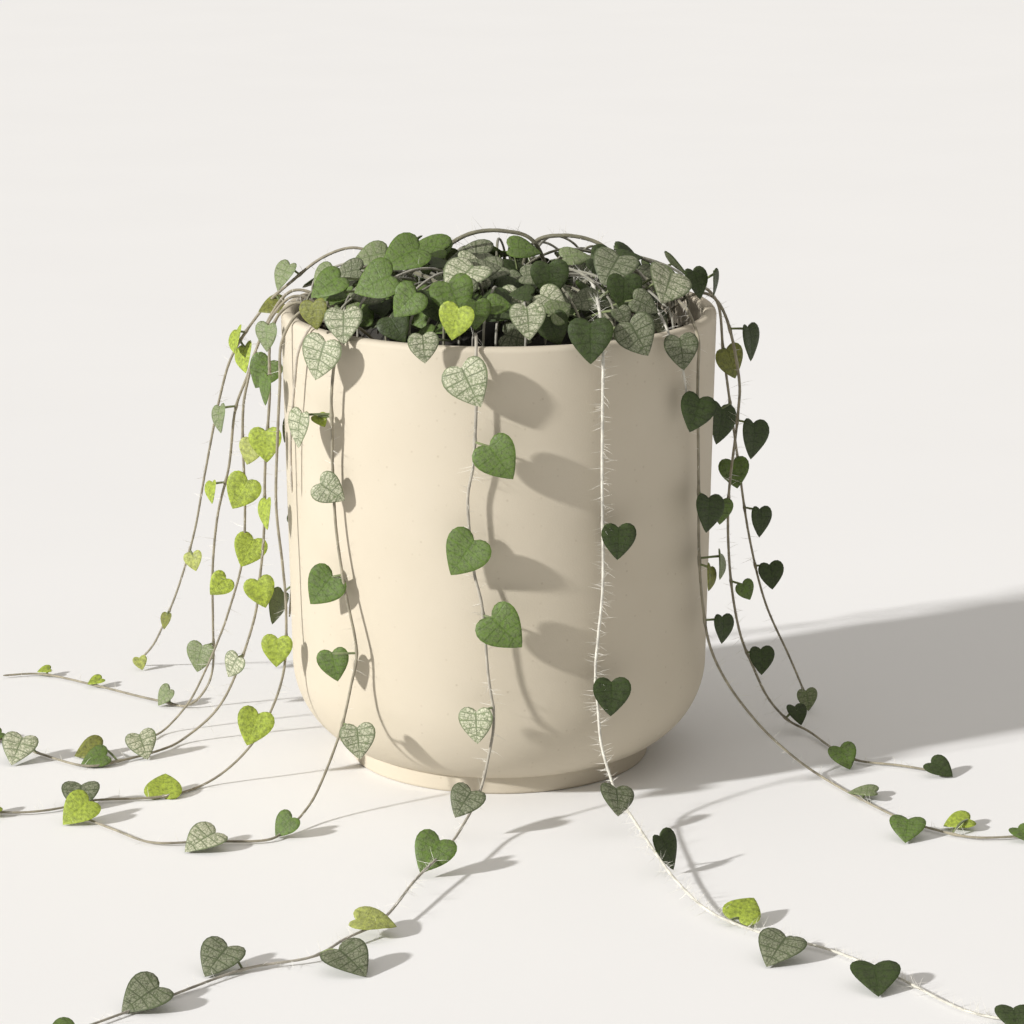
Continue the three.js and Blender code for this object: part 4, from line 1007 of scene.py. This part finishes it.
grown = []
for name, (route, entries) in VINES.items():
    path = walk(route)
    grown.append((name, route, path, [front_leaf(path, entry) for entry in entries]))
for i, (degrees, reach, swing) in enumerate(BACK_VINES):
    route = back_route(degrees, reach, swing)
    path = walk(route)
    grown.append((f"back_{i + 1}", route, path, back_leaves(i, reach, path)))

for name, route, path, leaves in grown:
    knuckles = [path[1][np.linalg.norm(path[0] - leaf["foot"], axis=1).argmin()]
                for leaf in leaves]
    stem = stem_form(route, STEM_TONES.get(name, PLAIN_STEM), STEM_THICK, STEM_THIN, knuckles)
    node = f"vine_{name}"
    stalks = [stalk_forms(leaves)] if leaves else []
    new_piece(f"{node}_stem", [stem, *stalks], stem_bark, [node])
    if leaves:
        new_piece(f"{node}_leaves", [leaf_forms(leaves)], leaf_skin, [node])

# %% [markdown]
# ## The crown
#
# The head of the plant is a low dome of overlapping leaves on short stems. The leaves that are
# seen best, over the front of the rim and on top, are listed one by one, and the rest follow the
# CAD model's rule, each turned by the golden angle from the last. Smaller and darker ones fill
# the layers underneath, over a mat of crossing stems.
# The darkness of these lower leaves is painted shade, for the shade that the dome casts on them.

# %% The crown's rule
CORE_RADIUS = 52
CORE_TOP = 177
ARCHES = [
    [(-26, 14, 168), (-22, 12, 186), (-12, 9, 195), (2, 6, 197), (14, 4, 192), (22, 4, 168)],
    [(6, 22, 168), (12, 14, 190), (24, 8, 195), (38, 4, 192), (46, 0, 182), (47, -2, 166)],
    [(-30, -8, 166), (-34, -16, 184), (-28, -30, 187), (-18, -40, 182), (-14, -42, 166)],
]
CROWN_LEAVES = 46
CROWN_RADIUS = 77
CROWN_TOP = 191
CROWN_DROP = 14  # from the middle of the dome to its edge
STOREY = 5  # between the three storeys of its leaves
SHORTEST, LONGER_BY = 12.5, 6
GOLDEN_ANGLE = math.radians(137.508)
TRIES = 80
CLEAR_OF_VINES = 2.2  # between sample points
CLEAR_OF_LEAVES = 1.5
BACK_LEVEL = 176  # the dome flattens towards this height at the back,
BACK_FALL = 0.018  # by this share for each mm
FOOT_REACH = CORE_RADIUS - 6
RIM_CLEAR, RIM_INSIDE = POT_HEIGHT + 1.2, 73  # no leaf is lower than this outside this radius


def flatter(y):
    """How much of its rise above the back's level a place on the dome keeps."""
    return max(0.25, 1 - BACK_FALL * max(0, y))


def crown_leaf(i, attempt):
    """A leaf by the crown's rule: its distance from the axis grows with the square root of its
    share of the count, so that the leaves cover the dome evenly."""
    draw = random_from(1000 + 50 * i + attempt)
    share = (i + 0.5) / CROWN_LEAVES
    radius = CROWN_RADIUS * math.sqrt(share) * (0.94 + 0.1 * next(draw))
    angle = i * GOLDEN_ANGLE + 0.7 * (next(draw) - 0.5)
    out = heading_out(angle)
    height = CROWN_TOP - CROWN_DROP * share ** 1.5 - STOREY * (i % 3) + STOREY * next(draw)
    middle = out * radius
    middle[2] = BACK_LEVEL + flatter(middle[1]) * (height - BACK_LEVEL)
    lean = np.array([next(draw) - 0.5, next(draw) - 0.5, 0])
    facing = unit(out * (0.2 + 0.9 * share) + np.array([0, -0.2, 1]) + 0.8 * lean)
    heading = angle + 2.8 * (next(draw) - 0.5)
    along = flattened(heading_out(heading, -0.3), facing)
    length = SHORTEST + LONGER_BY * next(draw)
    foot_radius = min(radius, FOOT_REACH) * (0.8 + 0.2 * next(draw))
    foot = out * foot_radius + UP * (CORE_TOP - 5 - 8 * (foot_radius / CORE_RADIUS) ** 2)
    return {"length": length, "middle": middle, "along": along, "facing": facing,
            "foot": foot, "seed": 3.1 * i}


def blade_points(leaf):
    """A net of points over a blade, to measure how close it comes to others."""
    row, column = np.meshgrid(np.arange(-3, 6), np.arange(-4, 5), indexing="ij")
    size = leaf["length"]
    reach = np.where(row < 3, 0.5, 0.5 - 0.15 * (row - 2))
    x, y = column / 4 * reach * size, row / 9 * size
    height = FOLD * np.abs(x) - DROOP * (row / 9 + NOTCH) ** 2 * size
    across = np.cross(leaf["along"], leaf["facing"])
    points = (leaf["middle"] + across * x[..., None] + leaf["along"] * y[..., None]
              + leaf["facing"] * height[..., None])
    return points.reshape(-1, 3)


def stalk_points(leaf):
    """Points along a leaf's stalk, a little under 1 mm apart."""
    notch = notch_of(leaf)
    count = math.ceil(np.linalg.norm(notch - leaf["foot"]))
    share = np.arange(count)[:, None] / count
    return (1 - share) * leaf["foot"] + share * notch


def comes_near(points, cloud, limit):
    """Whether a point lies closer than the limit to a point of the cloud."""
    centre = points.mean(0)
    reach = np.linalg.norm(points - centre, axis=1).max() + limit
    close = cloud[np.linalg.norm(cloud - centre, axis=1) < reach]
    if not len(close):
        return False
    return np.linalg.norm(points[:, None] - close, axis=2).min() < limit


def blocked(points, cloud):
    """Whether a leaf's points lie in the rim of the pot or too close to a vine."""
    over_rim = (points[:, 2] < RIM_CLEAR) & (np.hypot(*points[:, :2].T) > RIM_INSIDE)
    return over_rim.any() or comes_near(points, cloud, CLEAR_OF_VINES)


vine_cloud = []
for _, _, (points, _), leaves in grown:
    vine_cloud.append(points[points[:, 2] > SOIL_TOP - 3])
    for leaf in leaves:
        if leaf["middle"][2] > SOIL_TOP - 8:
            vine_cloud += [blade_points(leaf), stalk_points(leaf)]
for route in ARCHES:
    points = walk(route)[0]
    vine_cloud.append(points[points[:, 2] > CORE_TOP + 3])
vine_cloud = np.vstack(vine_cloud)

# %% Leaves listed one by one
# The colouring's letter, x, y, z of the middle, length, the way the tip points as seen from the
# front, how far the face looks up, and how far it turns to the right.
# The letters d and k here partly paint shade: they go to leaves that lie in shadow, deep in the
# crown or on its right, away from the sun.
SHOWN_LEAVES = [
    ("m", -43, -62, 190, 16, -160, 35, -10), ("m", -32, -68, 184, 13, -135, 20, -10),
    ("s", -26, -83, 171, 11, -85, 5, 5), ("l", -15, -77, 179, 13, -105, 10, -15),
    ("m", -8, -73, 181, 11, -90, 10, 15), ("m", 0, -68, 183, 9, 0, 45, 0),
    ("s", 10, -76, 179, 13, -85, 20, 5), ("g", 21, -68, 181, 10, 35, 30, 15),
    ("d", 19, -70, 175, 12, -70, 15, 0), ("d", 18, -50, 189, 14, -85, 15, 5),
    ("d", 44, -52, 185, 13, -90, 15, 10), ("k", 48, -74, 173, 15, -60, 10, 5),
    ("m", -60, -56, 188, 14, -150, 50, -20), ("m", -59, -50, 184, 12, 180, 60, -10),
    ("o", -65, -52, 177, 11, -85, 15, -25), ("g", -63, -16, 183, 13, -135, 40, -40),
    ("g", -46, -14, 191, 14, -165, 60, 0), ("m", -25, -6, 193, 15, 165, 60, 0),
    ("d", -36, -15, 190, 10, 0, 75, 0), ("d", -21, -20, 189, 10, 10, 75, 0),
    ("s", -11, -15, 190, 8, 0, 50, 0), ("m", 9, -5, 192, 13, 0, 60, 10),
    ("d", 72, -12, 181, 12, -65, 25, 45), ("d", 79, -6, 180, 10, -70, 5, 75),
    ("d", 48, -4, 189, 10, 20, 70, 10), ("g", 61, -25, 184, 12, -20, 50, 30),
    ("g", 28, -10, 190, 12, 10, 65, 0), ("k", 30, -46, 180, 12, -170, 55, 0),
    ("k", -14, -54, 186, 12, 150, 40, 0), ("d", -23, -60, 182, 13, -70, 25, 0),
    ("d", -36, -62, 174, 12, -60, 30, -10), ("k", -5, -35, 190, 12, 20, 60, 0),
    ("d", 8, -58, 185, 9, 170, 60, 0), ("k", 51, -56, 181, 11, -20, 40, 20),
    ("k", 43, -68, 179, 8, -60, 40, 20), ("k", -54, -30, 188, 12, 180, 55, -20)
]


def shown_leaf(entry, seed):
    """A listed leaf of the crown, on a stalk that starts in the core under it."""
    tone, x, y, z, length, heading, lift, turn = entry
    leaf = angled_leaf(np.array([x, y, z], float), length, heading, lift, turn)
    inwards = min(0.8, FOOT_REACH / max(math.hypot(x, y), 1))
    foot = leaf["middle"] * (inwards, inwards, 0) + UP * max(z - 10, 166)
    return {**leaf, "foot": foot, "tone": tone, "seed": seed}


shown_leaves = [shown_leaf(entry, 2.3 * i) for i, entry in enumerate(SHOWN_LEAVES)]

# %% The rest of the dome by rule
rule_leaves = []
leaf_cloud = np.vstack([blade_points(leaf) for leaf in shown_leaves])
for i in range(CROWN_LEAVES):
    for attempt in range(TRIES):
        leaf = crown_leaf(i, attempt)
        points = blade_points(leaf)
        if blocked(points, vine_cloud) or blocked(stalk_points(leaf), vine_cloud):
            continue
        if comes_near(points, leaf_cloud, CLEAR_OF_LEAVES):
            continue
        # Painted shade: leaves right of the middle draw from darker greens, as that side of the
        # dome faces away from the sun.
        tones = "kdmkdskd" if leaf["middle"][0] > -10 else "mgmkmsmd"  # darker to the right
        leaf["tone"] = tones[(3 * i) % 8]
        leaf_cloud = np.vstack([leaf_cloud, points])
        rule_leaves.append(leaf)
        break
print(len(shown_leaves), "crown leaves by hand,", len(rule_leaves), "by rule")

# %% Leaves underneath
FILL_LEAVES = 190
FILL_REACH = 70  # how far they spread from the axis
FILL_TOP = 186  # highest middle, at the axis
FILL_EDGE = 75  # where they have dropped by FILL_DROP and lean out most
FILL_DROP = 15
FILL_DEPTH = 7  # thickness of the layer
FILL_LEVEL = BACK_LEVEL - 4
FILL_SHORTEST, FILL_LONGER_BY = 9, 6
FILL_FOOT_REACH, FILL_FOOT_HEIGHT = 44, 171
FILL_CLEAR = 1.2


def fill_leaf(i):
    """A small leaf in the lower layers: it lies anywhere under the dome, and leans outwards."""
    draw = random_from(9000 + 31 * i)
    radius = FILL_REACH * math.sqrt((i + 0.5) / FILL_LEAVES)
    angle = i * GOLDEN_ANGLE + 1.1 * next(draw)
    out = heading_out(angle)
    height = FILL_TOP - FILL_DROP * (radius / FILL_EDGE) ** 3 - FILL_DEPTH * next(draw)
    middle = out * radius
    middle[2] = FILL_LEVEL + flatter(middle[1]) * (height - FILL_LEVEL)
    lean = np.array([1.1 * (next(draw) - 0.5), 1.1 * (next(draw) - 0.5) - 0.15, 0])
    facing = unit(out * (0.1 + 0.8 * (radius / FILL_EDGE) ** 2) + UP + lean)
    heading = angle + 3.6 * (next(draw) - 0.5)
    along = flattened(heading_out(heading, -0.3), facing)
    length = FILL_SHORTEST + FILL_LONGER_BY * next(draw)
    foot = out * min(radius, FILL_FOOT_REACH) * 0.8 + UP * FILL_FOOT_HEIGHT
    # Painted shade: these lower leaves take mostly dark greens, more so right of the middle, for
    # the shade under the dome.
    tones = "kdkdmdkg" if middle[0] > -15 else "mdkmdgkm"
    tone = tones[int(8 * next(draw))]
    return {"length": length, "middle": middle, "along": along, "facing": facing,
            "foot": foot, "tone": tone, "seed": 5.3 * i}


# %% Growing the crown
filled = [leaf for leaf in map(fill_leaf, range(FILL_LEAVES))
          if not blocked(blade_points(leaf), vine_cloud)
          and not comes_near(blade_points(leaf), leaf_cloud, FILL_CLEAR)]
crown_leaves = shown_leaves + rule_leaves
new_piece("crown_leaves", [leaf_forms(crown_leaves), leaf_forms(filled, 9, 4)], leaf_skin,
          ["crown"])
print(len(filled), "leaves underneath")

# %% Mat of stems
MAT_STEMS = 64
MAT_TONES = ["#8d8b7c", "#7c7a66", "#a5a295"]
MAT_THICK, MAT_THIN = 0.55, 0.45
ARCH_THICK, ARCH_THIN = 0.85, 0.7


def mat_route(i):
    """Up out of the soil near the axis, outwards under the leaves and down inside the rim."""
    draw = random_from(500 + i)
    swing = 1.4 * (next(draw) - 0.5)
    start, far = 6 + 34 * next(draw), 52 + 18 * next(draw)
    rise = 182 + 8 * next(draw)
    lanes = [(start, 168, 0), (start + 2, rise - 6, 0.1 * swing),
             ((start + far) / 2, rise, 0.5 * swing), (far, rise - 8, swing),
             (far + 3, 166, 1.1 * swing)]
    return on_lanes(lanes, i * GOLDEN_ANGLE)


mat = [stem_form(mat_route(i), MAT_TONES[i % 3], MAT_THICK, MAT_THIN) for i in range(MAT_STEMS)]
arches = [stem_form(route, "#6d6a55", ARCH_THICK, ARCH_THIN) for route in ARCHES]

# %% Core of the crown
CORE_BOTTOM = SOIL_TOP + 0.3
CORE_SEGMENTS = 72
CORE_BASE = 6  # rings under the rough top

core_outline = np.vstack([
    steps_between((0, CORE_BOTTOM), (CORE_RADIUS - 4, CORE_BOTTOM), CORE_BASE - 2),
    [(CORE_RADIUS, SOIL_TOP + 4), (CORE_RADIUS - 2, CORE_TOP - 12),
     (CORE_RADIUS - 12, CORE_TOP - 7)],
    steps_between((CORE_RADIUS - 14, CORE_TOP - 6), (0, CORE_TOP - 3), 14)])
core_points = turned(core_outline, CORE_SEGMENTS, CORE_BOTTOM, CORE_TOP - 3)
rough = core_points[1 + CORE_BASE * CORE_SEGMENTS:-1]
rough += dice.normal(0, 0.5, rough.shape)
# The core is near black as painted shade: it fills the gaps deep in the crown, which lie in shadow.
core = bunch(core_points[None], len(core_outline), CORE_SEGMENTS,
             tone=np.array(linear("#231f15")))
stalks = stalk_forms(crown_leaves + filled)
new_piece("crown_stems", [core, *mat, *arches, stalks], stem_bark, ["crown"])

# %% [markdown]
# ## Hairs
#
# Fine white hairs of 3 to 8 mm stand out of the stems, closest together on the young ones.
# Real hairs are thinner than a tenth of a millimetre, so they are drawn at 0.15 mm to be seen.
# Each is a bent three-sided needle.

# %% Needles
HAIR_RADIUS = 0.075


def hair_forms(roots, directions, lengths):
    """Needles: root, a ring of three round it, a ring of three at 55 % of the length and the
    tip, which is bent aside. A ring point is its centre plus the radius times a side axis."""
    directions = unit(directions)
    fixed = np.where(np.abs(directions[:, 2:]) < 0.8, [[0, 0, 1.0]], [[1.0, 0, 0]])
    side = unit(np.cross(directions, fixed))
    up = np.cross(side, directions)
    turn = 2 * math.pi * np.arange(3) / 3
    around = (np.cos(turn)[:, None] * side[:, None] - np.sin(turn)[:, None] * up[:, None])
    reach = lengths[:, None] * directions
    bend = 0.12 * lengths[:, None] * side
    middle = roots + 0.55 * reach
    tips = roots + reach + bend
    rings = [roots[:, None], roots[:, None] + around * HAIR_RADIUS,
             middle[:, None] + around * 0.7 * HAIR_RADIUS, tips[:, None]]
    return bunch(np.concatenate(rings, 1), 2, 3)


def hairs_along(path, spacing, length_range, start=0.0):
    """Hairs at random places along a stem, square to it give or take a lean forwards."""
    length = path[1][-1] - start
    count = int(length / spacing)
    wanted = start + length * dice.random(count)
    roots = points_at(path, wanted)
    forward = points_at(path, wanted + 0.5) - roots
    forward /= np.maximum(np.linalg.norm(forward, axis=1, keepdims=True), 1e-9)
    around = dice.normal(0, 1, (count, 3))
    around -= forward * (around * forward).sum(1, keepdims=True)
    directions = unit(around) + forward * dice.uniform(-0.5, 0.5, (count, 1))
    lengths = dice.uniform(*length_range, count)
    tips = roots + unit(directions) * lengths[:, None]
    in_wall = (tips[:, 2] < POT_HEIGHT) & (np.hypot(*tips[:, :2].T) < RIM_RADIUS + 0.5)
    clear = (tips[:, 2] > 0.4) & ~(in_wall & (roots[:, 2] < POT_HEIGHT))
    return hair_forms(roots[clear], directions[clear], lengths[clear])


white_hair, tree = new_material("white_plant_hair")
uneven = noise(tree, place_on(tree), 300.0)
finish_surface(tree, Base_Color=mixed(tree, uneven, "#dedbd0", "#f4f2ea"), Roughness=0.5)

# %% Growing the hairs
HAIR_SPACING = {"front_right": 0.5, "front_mid": 1.6, "right_short": 0.9, "right_mid": 1.6}
PLAIN_SPACING = 3.0
HAIR_LENGTHS = (2.5, 6.5)
ARCH_SPACING = 1.6
ARCH_HAIR_LENGTHS = (3.0, 8.0)
IN_THE_SOIL = 20  # mm at the start of a vine, which have no hairs

hairs = []
for name, _, path, _ in grown:
    spacing = HAIR_SPACING.get(name, PLAIN_SPACING)
    hairs.append(hairs_along(path, spacing, HAIR_LENGTHS, start=IN_THE_SOIL))
for route in ARCHES:
    hairs.append(hairs_along(walk(route), ARCH_SPACING, ARCH_HAIR_LENGTHS))
new_piece("fine_hairs", hairs, white_hair)
